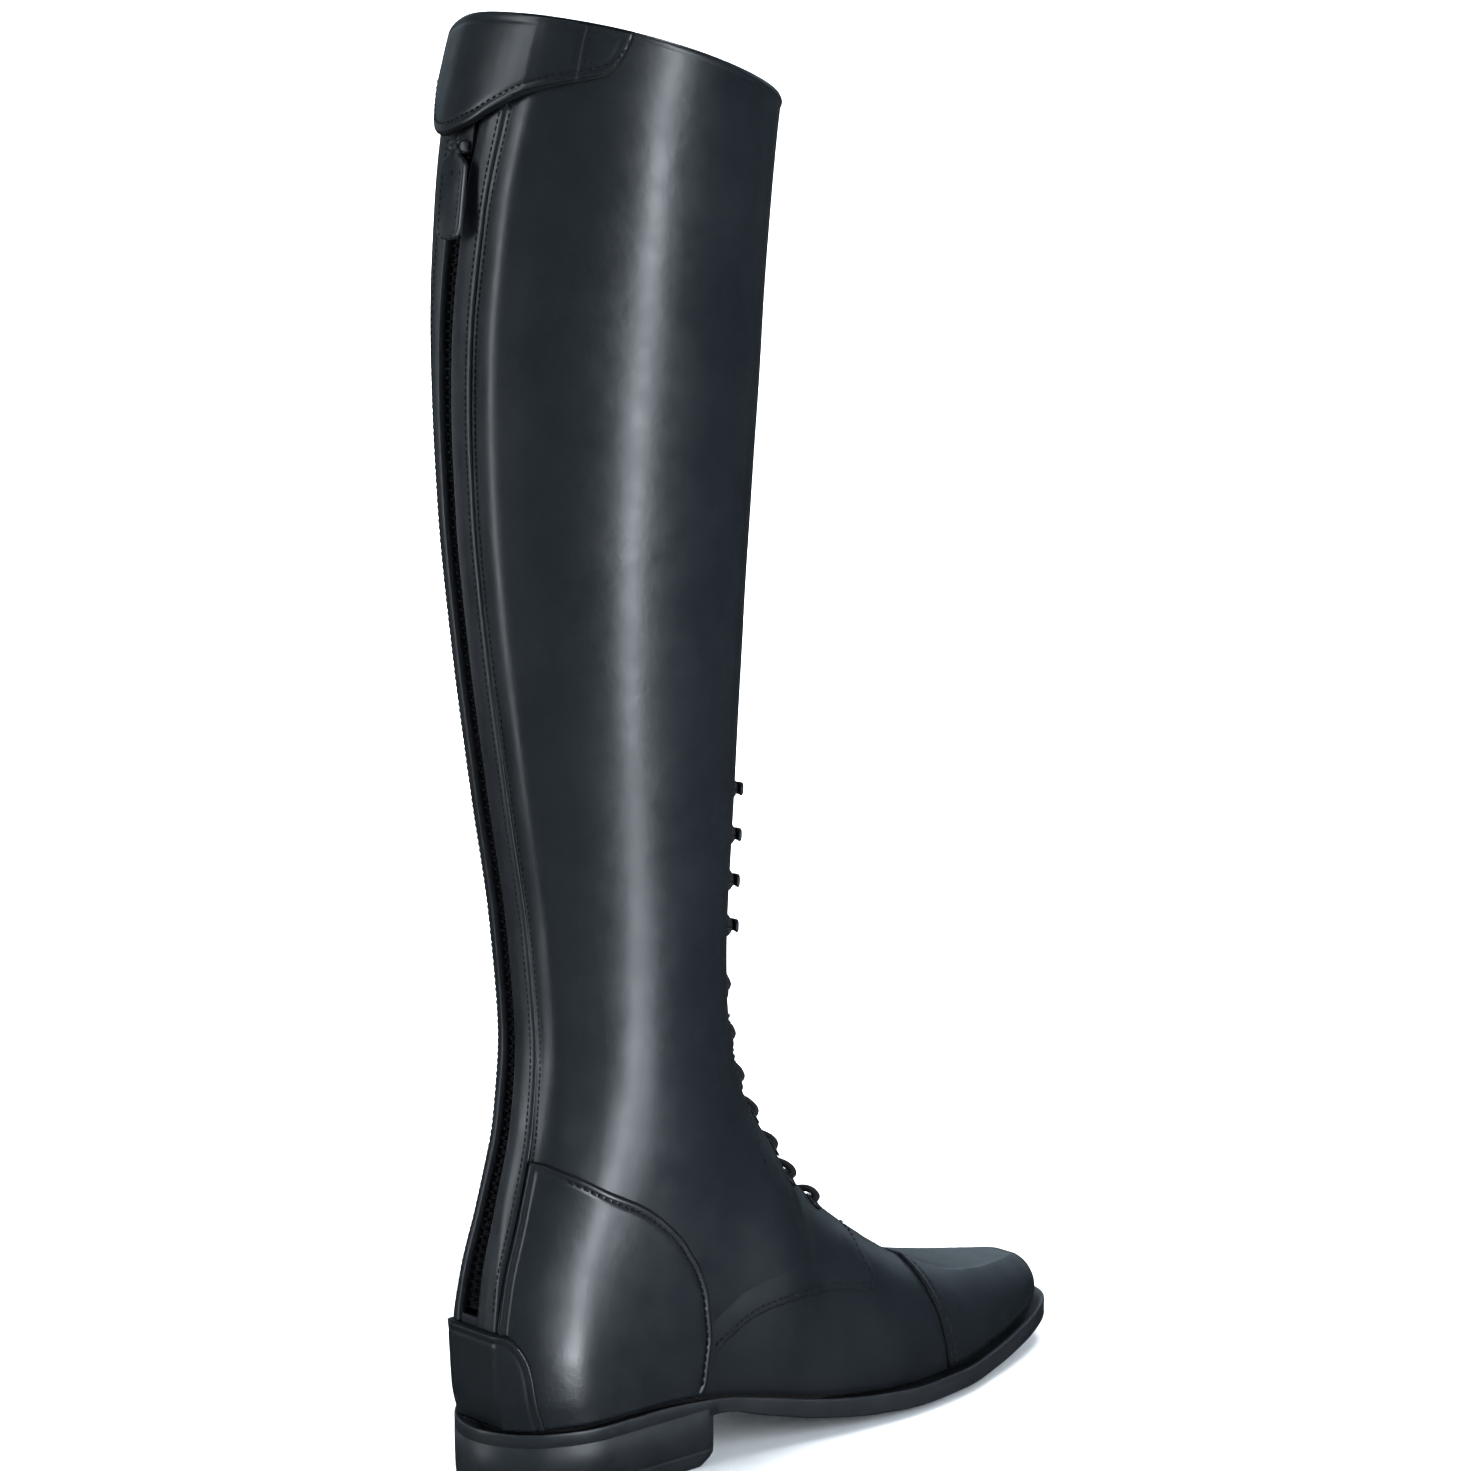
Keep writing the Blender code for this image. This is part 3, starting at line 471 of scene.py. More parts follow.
def rubber(name, color, rough):
    """Satin sole edge, with fine marks and a little dust."""
    mat, tree, shader, coords = nodes_of(name)
    cloud = noise(tree, coords, 45.0, 5.0, 0.65)
    light = tuple(c * 1.7 for c in color)
    tree.links.new(tint(tree, cloud, color, light), shader.inputs["Base Color"])
    tree.links.new(ramp(tree, cloud, 0.3, 0.7, rough - 0.08, rough + 0.1), shader.inputs["Roughness"])
    fine = noise(tree, coords, 700.0, 3.0, 0.7)
    tree.links.new(bump(tree, fine, 0.25, 0.0001), shader.inputs["Normal"])
    return mat


def woven(name, color, scale, rough=0.8):
    """Cloth with a fine twill."""
    mat, tree, shader, coords = nodes_of(name)
    wave = add(tree, "ShaderNodeTexWave", Scale=scale, Distortion=0.6, bands_direction="DIAGONAL")
    tree.links.new(coords, wave.inputs["Vector"])
    light = tuple(c * 2.4 for c in color)
    tree.links.new(tint(tree, wave.outputs["Fac"], color, light), shader.inputs["Base Color"])
    tree.links.new(bump(tree, wave.outputs["Fac"], 0.6, 0.0002), shader.inputs["Normal"])
    shader.inputs["Roughness"].default_value = rough
    shader.inputs["Specular IOR Level"].default_value = 0.2
    return mat


def enamel(name, color, rough, gloss):
    """Black lacquer with a slightly uneven film."""
    mat, tree, shader, coords = nodes_of(name)
    film = noise(tree, coords, 320.0, 3.0, 0.5)
    light = tuple(c * 1.5 for c in color)
    tree.links.new(tint(tree, film, color, light), shader.inputs["Base Color"])
    tree.links.new(ramp(tree, film, 0.3, 0.7, rough - 0.06, rough + 0.08), shader.inputs["Roughness"])
    shader.inputs["Specular IOR Level"].default_value = gloss
    return mat


BLACK = leather("black_leather", (0.0040, 0.0055, 0.0075), (0.0070, 0.0090, 0.0115),
                rough=0.33, grain=0.15, coat=0.12)
# Cut edges: matte and rough, and painted darker than the grain as shade along the overlays' rims
CUT_EDGE_SHADE = leather("cut_edge_and_shade", (0.002, 0.0025, 0.003), (0.004, 0.005, 0.006),
               rough=0.6, grain=0.2, coat=0.0, gloss=0.12)
LINING = leather("lining", (0.020, 0.019, 0.019), (0.032, 0.030, 0.029),
                 rough=0.62, grain=0.5, coat=0.0, gloss=0.3)
SOLE_BLACK = rubber("sole_black", (0.0075, 0.0090, 0.0110), rough=0.42)
TREAD = rubber("tread", (0.009, 0.010, 0.011), rough=0.62)
CLOTH = woven("black_cloth", (0.004, 0.004, 0.0045), scale=900.0)
THREAD = woven("thread", (0.003, 0.0035, 0.0045), scale=1600.0, rough=0.55)
METAL = enamel("black_metal", (0.004, 0.0045, 0.0055), rough=0.42, gloss=0.35)
NYLON = enamel("zip_nylon", (0.0015, 0.0015, 0.002), rough=0.6, gloss=0.1)


# Meshes


def build(name, verts, faces, mats, body="boot", kinds=None):
    """A smooth mesh in metres, riding on a body; kinds gives each face its material."""
    bm = bmesh.new()
    made = [bm.verts.new(((v[0] - REST_X) / 1000, v[1] / 1000, v[2] / 1000)) for v in verts]
    for k, face in enumerate(faces):
        try:
            f = bm.faces.new([made[i] for i in face])
        except ValueError:
            continue
        f.smooth = True
        f.material_index = 0 if kinds is None else kinds[k]
    bmesh.ops.remove_doubles(bm, verts=bm.verts, dist=0.000002)
    bmesh.ops.dissolve_degenerate(bm, edges=bm.edges, dist=0.000001)
    bmesh.ops.delete(bm, geom=[v for v in bm.verts if not v.link_faces], context="VERTS")
    bmesh.ops.recalc_face_normals(bm, faces=bm.faces)
    mesh = bpy.data.meshes.new(name)
    bm.to_mesh(mesh)
    bm.free()
    for mat in mats:
        mesh.materials.append(mat)
    obj = bpy.data.objects.new(name, mesh)
    bpy.context.scene.collection.objects.link(obj)
    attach(obj, body)
    return obj


def finish(obj, slot, *nodes):
    """Hides the imported nodes that a piece stands for; the slot is not used."""
    if nodes:
        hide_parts(*nodes)
    return obj


def shell(name, points, normals, low, high, mats, closed=False, keep=None, rim=None):
    """Solid between two offsets of a grid; the last material is for its inner face and its rim."""
    rows, cols = points.shape[:2]
    low = np.broadcast_to(low, (rows, cols))[..., None]
    high = np.broadcast_to(high, (rows, cols))[..., None]
    verts = np.vstack([(points + normals * high).reshape(-1, 3), (points + normals * low).reshape(-1, 3)])
    count = rows * cols
    faces, kinds = [], []
    edges = set()
    inside = len(mats) - 1
    for i in range(rows - 1):
        for j in range(cols if closed else cols - 1):
            if keep is not None and not keep[i, j]:
                continue
            k = (j + 1) % cols
            face = [i * cols + j, i * cols + k, (i + 1) * cols + k, (i + 1) * cols + j]
            faces.append(face)
            faces.append([v + count for v in reversed(face)])
            kinds += [inside if rim is not None and rim[i, j] else 0, inside]
            edges.update(zip(face, face[1:] + face[:1]))
    for a, b in sorted(edges):
        if (b, a) not in edges:
            faces.append([b, a, a + count, b + count])
            kinds.append(0 if rim is None else inside)
    return build(name, verts, faces, mats, "boot", kinds)


def spaced(total, count, fine=(0, 0.15, 0.4, 0.8, 1.2, 1.6, 2.0, 2.4, 2.8, 3.2, 3.6, 4.2)):
    """Distances from 0 to a total, close together at both ends; the total may be a column."""
    total = np.asarray(total, float).reshape(-1, 1)
    fine = np.array(fine)[None, :]
    squeeze = np.minimum(1, total / (2.4 * fine.max()))
    near = fine * squeeze
    t = np.linspace(0, 1, count + 2)[None, 1:-1]
    middle = near[:, -1:] + (total - 2 * near[:, -1:]) * t
    return np.concatenate([near, middle, total - near[:, ::-1]], axis=1)


def rounded(distance, radius):
    """Height of a rounded edge, from 0 at its rim to 1."""
    t = np.clip(distance / radius, 0, 1)
    return np.sqrt(np.clip(1 - (1 - t) ** 2, 0, 1))


def rim_distance(p, rims):
    """Distance of each point of a grid from the chosen rims: first row, last row, first and last column."""
    lines = [line for rim, line in zip(rims, (p[0], p[-1], p[:, 0], p[:, -1])) if rim]
    spots = []
    for line in lines:
        for a, b in zip(line, line[1:]):
            parts = max(1, int(np.linalg.norm(b - a) / 0.3))
            spots += [a + (b - a) * k / parts for k in range(parts)]
        spots.append(line[-1])
    tree = KDTree(len(spots))
    for k, spot in enumerate(spots):
        tree.insert(spot, k)
    tree.balance()
    flat = [tree.find(q)[2] for q in p.reshape(-1, 3)]
    return np.array(flat).reshape(p.shape[:2])


def panel(name, s, d, base, low, thick, radius, rims, groove=None, edge=CUT_EDGE_SHADE):
    """A leather overlay on the skin with rounded rims; groove is a sewn line's place, depth and width."""
    p = skin(s, d, base)
    n = normal(s, d, base)
    distance = rim_distance(p, rims)
    rise = rounded(distance, radius)
    low = np.broadcast_to(low, rise.shape)
    high = low + np.maximum(thick * rise, 0.02)
    if groove:
        at, deep, wide = groove
        high = high - deep * bell(distance, at, wide)
    # Faces near the rim take the edge material: a real matte cut edge, darkened as painted shade
    near = distance < 0.8 * radius
    rim = near[:-1, :-1] & near[1:, 1:]
    return shell(name, p, n, low, high, [BLACK, edge], rim=rim)


def waves(p):
    """Slow unevenness of the stretched leather."""
    x, y, z = p[..., 0], p[..., 1], p[..., 2]
    return (0.16 * np.sin(z / 23.0 + 0.6 * np.sin(x / 31.0)) * np.sin(x / 27.0 + y / 35.0 + 1.3)
            + 0.07 * np.sin(z / 11.5 + x / 17.0 + 0.7) * np.sin(y / 14.0 - z / 29.0))


def toe_drop(p):
    """How far the softened top of the toe lies under the plain skin."""
    return 1.7 * step(215, 266, p[..., 0]) * step(22, 33, p[..., 2])


def relief(s, d, p):
    """Height of the upper's face over the plain skin."""
    h = waves(p) * step(20, 90, s) + creases(s, d) + seam_relief(s, d) - toe_drop(p)
    return h * step(0, 10, TOP_S - s) - 0.15 * (1 - step(0, 6, s))


# Soft creases: section, distance from the centre back, half-length, half-width, depth, slant
CREASES = {
    "s": [198, 212, 188, 232, 205, 420, 372, 176],
    "d": [-62, -70, -50, -64, 60, -66, -70, -70],
    "long": [34, 26, 20, 30, 30, 22, 20, 16],
    "wide": [6.5, 5.0, 5.0, 6.0, 6.0, 4.0, 4.2, 4.5],
    "deep": [0.11, 0.07, 0.08, 0.07, 0.16, 0.05, 0.04, 0.08],
    "slant": [0.12, -0.1, 0.25, 0.05, 0.1, 0.0, 0.05, 0.4],
}


def creases(s, d):
    """Height of the creases: a trough with a low ridge on both sides."""
    h = np.zeros(np.broadcast(s, d).shape)
    for cs, cd, long, wide, deep, slant in zip(*CREASES.values()):
        v = (s - cs - slant * (d - cd)) / wide
        fade = np.exp(-((d - cd) / long) ** 4)
        h += deep * fade * (0.55 * np.exp(-((np.abs(v) - 1.9) / 0.9) ** 2) - np.exp(-v * v))
    return h


def seam_relief(s, d):
    """Trough and padded ridge of the shaft beside the back strips."""
    mid = zip_mid(s)
    edge = ZIP_HALF + 0.4 + STRIP_WIDTH
    q = np.where(d < mid, mid - d, d - mid) - edge
    fade = step(150, 200, s) * np.where(d < mid, 1.0, 0.5)
    return fade * (0.85 * bell(q, 9.0, 5.2) - 0.25 * bell(q, 1.2, 1.4))


def throat_edge(s, sign):
    """Distance from the centre front to the edge of the throat, round the section."""
    half = int(sign > 0)
    reach = []
    for value in s:
        i = int(round(value / TOP_S * (ROWS - 1)))
        run = np.linspace(0, LENGTHS[half, i], STEPS + 1)
        reach.append(np.interp(THROAT_HALF, np.abs(HALVES[half, i, :STEPS // 4, 1]), run[:STEPS // 4]))
    return np.array(reach)


def upper():
    """The hollow leather wall, open at the throat, along the zip and underneath."""
    marks = [0.0, ZIP_FOOT, *THROAT_ROWS, TOP_S]
    s = [np.linspace(a, b, int((b - a) / 2.5) + 1)[:-1] for a, b in zip(marks, marks[1:])]
    s = np.concatenate([*s, [TOP_S]])
    front = -half_length(s, np.full(len(s), -1.0))
    fine = np.concatenate([np.arange(0, 26, 1.3), [28, 31, 35]])
    mid = zip_mid(s)
    blocks = [front[:, None]]
    for sign, count in ((-1, 62), (1, 50)):
        length = half_length(s, np.full(len(s), float(sign)))
        start = mid + sign * ZIP_HALF
        far = sign * (length - throat_edge(s, sign))
        total = np.abs(far - start)
        even = fine[-1] + (total[:, None] - fine[-1]) * np.linspace(0, 1, count + 1)[None, 1:]
        block = start[:, None] + sign * np.concatenate([np.broadcast_to(fine, (len(s), len(fine))), even], 1)
        blocks.append(block[:, ::-1] if sign < 0 else block)
        if sign < 0:
            blocks.append(mid[:, None])
    d = np.concatenate(blocks, 1)
    rows = np.broadcast_to(s[:, None], d.shape)
    p = skin(rows, d)
    n = normal(rows, d)
    n[:, 0] = unit(normal(rows[:, 0], d[:, 0] + 0.3))
    h = relief(rows, d, p)
    keep = np.ones((len(s) - 1, d.shape[1]), bool)
    at = blocks[1].shape[1]
    for i, value in enumerate(s[:-1]):
        if THROAT_ROWS[0] - 0.1 <= value < THROAT_ROWS[1] - 0.1:
            keep[i, 0] = keep[i, -1] = False
        if value >= ZIP_FOOT - 0.1:
            keep[i, at] = keep[i, at + 1] = False
    obj = shell("upper_leather", p, n, -WALL, h, [BLACK, LINING], True, keep)
    bevel(obj, 0.6)
    return finish(obj, "leather", "upper")


def bevel(obj, width, segments=2):
    mod = obj.modifiers.new("bevel", "BEVEL")
    mod.width = width / 1000
    mod.segments = segments
    mod.limit_method = "ANGLE"
    mod.angle_limit = math.radians(50)


def toe_cap():
    """Straight cap across the toe; gives back its edge for the stitches."""
    across = np.linspace(-1, 1, 91)
    crest_s = np.interp(-TOE_SEAM[0], -RUN_X[TOE_TIP:ANKLE], RUN[TOE_TIP:ANKLE])
    rows = crest_s * (1 - across ** 2)
    reach = []
    for s, a in zip(rows, across):
        side = 0 if a < 0 else 1
        i = int(round(s / TOP_S * (ROWS - 1)))
        x = TOE_SEAM[0] + (TOE_SEAM[1] - TOE_SEAM[0]) * a * a
        run = np.linspace(0, LENGTHS[side, i], STEPS + 1)
        reach.append(np.interp(-x, -HALVES[side, i, :, 0], run))
    reach = np.array(reach)
    fine = 1 - np.array([0.058, 0.052, 0.046, 0.040, 0.034, 0.028, 0.022, 0.016, 0.011, 0.007, 0.004,
                         0.0015, 0])
    share = np.concatenate([np.linspace(0, 0.935, 46) ** 1.15, fine])
    s = np.maximum(share[:, None] * rows, 0.4)
    d = share[:, None] * reach * np.sign(across)
    low = 0.25 - toe_drop(skin(s, d, "front"))
    obj = panel("toe_cap_leather", s, d, "front", low, thick=1.2, radius=1.5, rims=(0, 1, 0, 0),
                groove=(3.4, 0.3, 0.7))
    finish(obj, "leather", "toe_cap")
    return rows, reach * np.sign(across)


def strip_far(s, sign):
    """Far edge of a back strip, from the centre back."""
    return zip_mid(s) + sign * (ZIP_HALF + 0.4 + STRIP_WIDTH)


def counter(name, sign):
    rows = np.concatenate([np.linspace(0.5, 150, 62), np.linspace(151.5, 176, 18), [177, 178, 178.8, 179.3]])
    edge = smooth(COUNTER["s"], COUNTER["d"], rows)
    start = np.maximum(sign * strip_far(rows, sign) + 0.5, 6.0)
    edge = np.maximum(edge, start + 1.0)
    d = sign * (start[:, None] + spaced(edge - start, 44))
    obj = panel(name + "_leather", rows[:, None], d, "back", low=0.15, thick=1.1, radius=1.3,
                rims=(0, 1, 1, 1), groove=(2.7, 0.5, 0.8))
    return finish(obj, "leather", name)


def heel_cap():
    rows = np.concatenate([np.linspace(0.5, 61, 40), np.linspace(61.8, 65.4, 7), [66, 66.5, 66.8, 67]])
    half = smooth(HEEL_CAP["s"], HEEL_CAP["d"], rows)
    d = -half[:, None] + spaced(2 * half, 40)
    out = smooth(HEEL_CAP["s"], HEEL_CAP["out"], rows)[:, None]
    obj = panel("heel_cap_leather", rows[:, None], d, "back", low=0.3, thick=out - 0.2, radius=1.1,
                rims=(0, 1, 1, 1), groove=(3.0, 0.4, 0.6))
    return finish(obj, "leather", "heel_cap")


def back_strip(name, sign):
    rows = np.linspace(66, 551, 210)
    near = zip_mid(rows) + sign * (ZIP_HALF - 0.4)
    d = near[:, None] + sign * spaced(np.full(len(rows), STRIP_WIDTH + 0.8), 6)
    low = -0.9 + 1.0 * rounded(np.abs(d - near[:, None]), 1.4)
    thick = 0.9 - 0.45 * np.clip(np.abs(d - near[:, None]) / STRIP_WIDTH - 0.5, 0, 1)
    obj = panel(name + "_leather", rows[:, None], d, "back", low, thick, radius=1.3,
                rims=(0, 0, 1, 1), edge=BLACK)
    return finish(obj, "leather", name)


def flap_off(d):
    off = smooth(FLAP["d"], FLAP["off"], d)
    return np.where((d > -20) & (d < 24), np.maximum(off, 2.1), off)


def flap_lift(s, d):
    """Height of the flap's inner face over the skin."""
    low = smooth(FLAP["d"], FLAP["low"], d)
    share = np.clip((s - low) / (TOP_S - low), 0, 1)
    return 0.4 + (flap_off(d) - 0.4) * (1 - 0.6 * share)


def flap_thick(d):
    """Thickness of the flap, less at its sewn tip."""
    return 1.45 + 0.35 * step(-0.5, 0.5, d - FLAP_SEAM)


def collar_flap():
    """Flap over the end of the zip, its tip sewn on behind a seam."""
    tip = FLAP_SEAM + np.array([-0.9, -0.5, -0.2, 0.0, 0.2, 0.5, 0.9])
    d = np.concatenate([np.linspace(-50.4, tip[0] - 0.8, 18), tip, np.linspace(tip[-1] + 0.8, 35.5, 74)])
    low = smooth(FLAP["d"], FLAP["low"], d)
    fine = [0, 0.006, 0.016, 0.03, 0.05, 0.07, 0.09, 0.11, 0.13, 0.15, 0.18]
    share = spaced(np.full(len(d), 1.0), 12, fine).T
    s = low + (TOP_S - low) * share
    d = np.broadcast_to(d, s.shape)
    obj = panel("collar_flap_leather", s, d, "back", flap_lift(s, d), flap_thick(d), radius=1.7,
                rims=(1, 1, 1, 1), groove=(3.2, 0.3, 0.7))
    return finish(obj, "leather", "collar_flap")


def quarter_edge(sign):
    """The quarter's lower edge, standing over the vamp and fading into the shaft."""
    s, d = place(QUARTER["x"], QUARTER["z"], sign)
    t = run_along(np.column_stack([QUARTER["x"], QUARTER["z"]]))
    even = np.linspace(0, t[-1], 120)
    s, d = flow(t, s, even), flow(t, d, even)
    p = skin(s, d)
    n = normal(s, d)
    ahead = unit(np.gradient(p, axis=0))
    inward = unit(np.cross(n, ahead)) * sign
    steps = np.array([0, 0.1, 0.3, 0.7, 1.2, 2.0, 3.5, 5.5, 8, 11, 14])
    rows = [walk(s, d, "back", inward, w) for w in steps]
    rs = np.array([r[0] for r in rows])
    rd = np.array([r[1] for r in rows])
    rise = rounded(steps, 1.0) * (1 - step(2.5, 14, steps))
    ends = step(0, 8, even) * step(0, 10, even[-1] - even)
    sink = 0.03 + 0.3 * step(9, 14, steps)
    high = 0.6 * rise[:, None] * ends + relief(rs, rd, skin(rs, rd)) - sink[:, None]
    obj = shell("quarter_edge_" + ("outer" if sign < 0 else "inner"), skin(rs, rd), normal(rs, rd),
                -0.6, high, [BLACK])
    finish(obj, "leather")
    return walk(s, d, "back", inward, 2.6)


def bands(rings, count):
    """Faces between each closed ring of points and the next."""
    sides = [(j, (j + 1) % count) for j in range(count)]
    starts = [i * count for i in range(rings - 1)]
    return [[at + j, at + k, at + count + k, at + count + j] for at in starts for j, k in sides]


def caps(rings, count):
    """Faces that close the first ring and the last."""
    return [list(range(count - 1, -1, -1)), [(rings - 1) * count + j for j in range(count)]]


def tube(path, radius, sides=10, squash=1.0, lift=None):
    """Rings of a round or flattened cord along a path."""
    path = np.asarray(path, float)
    ahead = unit(np.gradient(path, axis=0))
    up = np.array([0, 0, 1.0]) if lift is None else np.asarray(lift, float)
    a = unit(np.cross(ahead, up))
    b = np.cross(a, ahead)
    angle = np.linspace(0, 2 * np.pi, sides, endpoint=False)
    ring = a[:, None] * np.cos(angle)[None, :, None] + b[:, None] * (squash * np.sin(angle))[None, :, None]
    verts = (path[:, None] + ring * np.reshape(radius, (-1, 1, 1))).reshape(-1, 3)
    return verts, bands(len(path), sides) + caps(len(path), sides)


def joined(name, parts, mat, body="boot"):
    """One mesh from many closed shapes."""
    verts, faces = [], []
    for v, f in parts:
        start = sum(len(x) for x in verts)
        verts.append(np.asarray(v))
        faces += [[i + start for i in face] for face in f]
    return build(name, np.vstack(verts), faces, [mat], body)


def catmull(points, count):
    """Smooth curve through points."""
    points = np.asarray(points, float)
    t = run_along(points)
    even = np.linspace(0, t[-1], count)
    return np.stack([flow(t, points[:, k], even) for k in range(points.shape[1])], -1)


def stitch_row(s, d, base, pitch, height, length, thick):
    """Stitches along a line on the skin, each a short bead that dips at both ends."""
    p = skin(s, d, base)
    n = normal(s, d, base)
    p = p + n * height
    t = run_along(p)
    parts = []
    across = np.linspace(-1, 1, 6)
    for middle in np.arange(pitch, t[-1] - pitch / 2, pitch):
        at = middle + across * length / 2
        line = np.stack([np.interp(at, t, p[:, k]) for k in range(3)], -1)
        up = np.array([np.interp(middle, t, n[:, k]) for k in range(3)])
        line = line + up * (thick * (0.55 - 1.25 * across ** 4))[:, None]
        parts.append(tube(line, thick * np.sqrt(1.02 - across ** 4), 6, 1.0, up))
    return parts


def dense(s, d, count=400):
    """A line's rows, filled in evenly."""
    t = np.linspace(0, 1, len(s))
    return np.interp(np.linspace(0, 1, count), t, s), np.interp(np.linspace(0, 1, count), t, d)


def back_seam_stitches():
    """Rows on both back strips and on the shaft beside them."""
    parts = []
    rows = np.linspace(80, 549, 400)
    for sign in (-1, 1):
        for aside, height in ((-2.2, 0.5), (1.4, -0.4)):
            d = strip_far(rows, sign) + sign * aside
            parts += stitch_row(rows, d, "back", pitch=2.3, height=height, length=2.1, thick=0.42)
    return finish(joined("back_seam_stitches", parts, THREAD), "cloth")


def counter_stitches():
    parts = []
    for sign in (-1, 1):
        s = np.linspace(2, 176, 300)
        d = sign * smooth(COUNTER["s"], COUNTER["d"], s)
        p = skin(s, d)
        inward = unit(np.cross(normal(s, d), unit(np.gradient(p, axis=0)))) * -sign
        s, d = walk(s, d, "back", inward, 2.7)
        parts += stitch_row(s, d, "back", pitch=2.9, height=0.85, length=2.5, thick=0.46)
    return finish(joined("counter_stitches", parts, THREAD), "cloth")


def vamp_stitches(cap, quarters):
    """Rows along the toe cap, the quarters' edges and the laced facings."""
    s, d = dense(np.maximum(cap[0] * 0.966, 0.4), cap[1] * 0.966)
    parts = stitch_row(s, d, "front", pitch=2.4, height=1.0, length=1.7, thick=0.3)
    for s, d in quarters:
        parts += stitch_row(s, d, "back", pitch=2.6, height=0.4, length=1.8, thick=0.3)
    s = np.linspace(FACING["s"][0], FACING["s"][-1], 200)
    for sign in (-1, 1):
        d = sign * smooth(FACING["s"], FACING["d"], s)
        parts += stitch_row(s, d, "front", pitch=2.6, height=0.0, length=1.8, thick=0.32)
    return finish(joined("vamp_stitches", parts, THREAD), "cloth")


def flap_stitches():
    """A row along the flap's lower edge and one on both sides of the seam at its tip."""
    d = np.linspace(-49.0, 34.5, 300)
    s = smooth(FLAP["d"], FLAP["low"], d) + 3.2
    parts = on_flap(s[s < TOP_S - 2.5], d[s < TOP_S - 2.5])
    for aside in (-1.6, 1.6):
        d = np.full(60, FLAP_SEAM + aside)
        parts += on_flap(np.linspace(smooth(FLAP["d"], FLAP["low"], d[0]) + 3.5, TOP_S - 2.0, 60), d)
    return finish(joined("flap_stitches", parts, THREAD), "cloth")


def on_flap(s, d):
    """A row of stitches on the flap's face."""
    top = flap_lift(s, d) + flap_thick(d)
    return stitch_row(s, d, "back", pitch=2.5, height=(top - 0.3)[:, None], length=1.8, thick=0.32)


def collar_binding():
    mid = float(zip_mid(TOP_S))
    out_len = float(half_length(TOP_S, -1.0))
    in_len = float(half_length(TOP_S, 1.0))
    d = np.concatenate([np.linspace(mid + ZIP_HALF, in_len, 160),
                        np.linspace(-out_len, mid - ZIP_HALF, 160)[1:]])
    s = np.full(len(d), TOP_S)
    path = skin(s, d) - normal(s, d) * (WALL / 2) + np.array([0, 0, -1.7])
    return finish(joined("collar_binding", [tube(path, 1.75, 12)], BLACK), "leather")


def tongue():
    rows = np.linspace(112, 352, 90)
    half = np.interp(rows, [112, 160, 350], [18, 22, 24])
    d = -half[:, None] + spaced(2 * half, 26)
    obj = panel("tongue_leather", rows[:, None], d, "front", low=-WALL - 4.2, thick=1.6, radius=1.0,
                rims=(1, 1, 1, 1))
    return finish(obj, "leather", "tongue")


def zip_parts():
    rows = np.linspace(78, 552, 220)
    mid = zip_mid(rows)[:, None]
    d = mid + np.linspace(-11, 11, 9)
    s = rows[:, None]
    obj = shell("zip_tape_cloth", skin(s, d), normal(s, d), -WALL - 1.3, -WALL - 0.4, [CLOTH])
    finish(obj, "cloth", "zip_tape")
    parts = []
    path = skin(rows, mid[:, 0])
    run = run_along(path)
    count = int(run[-1] / 1.6)
    for k, at in enumerate(np.linspace(2, run[-1] - 2, count)):
        s0 = float(np.interp(at, run, rows))
        sign = 1 if k % 2 else -1
        m = float(zip_mid(s0))
        reach = np.linspace(-0.6, 2.9, 5) * sign
        ds = np.full(5, s0)
        line = skin(ds, m + reach) + normal(ds, m + reach) * -1.5
        parts.append(tube(line, np.array([0.55, 0.85, 0.75, 0.65, 0.5]), 6, 0.8))
    return finish(joined("zip_teeth", parts, NYLON), "metal", "zip_chain")


def frame_at(s, d, base):
    """Point with its outward, sideways and upward directions on the skin."""
    p = skin(s, d, base)
    n = normal(s, d, base)
    t = skin(s, d + 0.5, base) - p
    t = unit(t - n * (t @ n))
    up = np.cross(n, t)
    return p, n, t, up * math.copysign(1, up[2])


def prism(ring, direction, half):
    """An outline made thick along a direction, to both sides."""
    ring = np.asarray(ring, float)
    verts = np.vstack([ring - direction * half, ring + direction * half])
    return verts, bands(2, len(ring)) + caps(2, len(ring))


def zip_slider():
    row = PULL_ROW + 5
    p, n, t, up = frame_at(row, float(zip_mid(row)), "back")
    plate = [(-6.5, -2.6), (-5.6, -3.3), (-3.5, -3.8), (4.5, -3.8), (6.0, -3.2), (6.5, -2.2)]
    plate += [(a, -b) for a, b in plate[::-1]]
    parts = [prism([p + up * a + t * b + n * 0.5 for a, b in plate], n, 0.9)]
    pin, _, pin_way, _ = pull_pin()
    lug = [(-2.0, -3.2), (2.0, -3.2), (1.7, 0.6), (1.0, 1.3), (0.0, 1.5), (-1.0, 1.3), (-1.7, 0.6)]
    for sign in (-1, 1):
        parts.append(prism([pin + up * a + n * b + t * sign * 3.1 for a, b in lug], t, 0.5))
    parts.append(tube([pin - pin_way * 3.4, pin, pin + pin_way * 3.4], 0.8, 12))
    obj = joined("zip_slider_metal", parts, METAL)
    bevel(obj, 0.25)
    return finish(obj, "metal", "zip_slider")


def pull_pin():
    """Middle of the tab's pin, with the directions there."""
    row = PULL_ROW + 1.5
    p, n, t, up = frame_at(row, float(zip_mid(row)), "back")
    return p + n * PIN_OUT, n, t, up


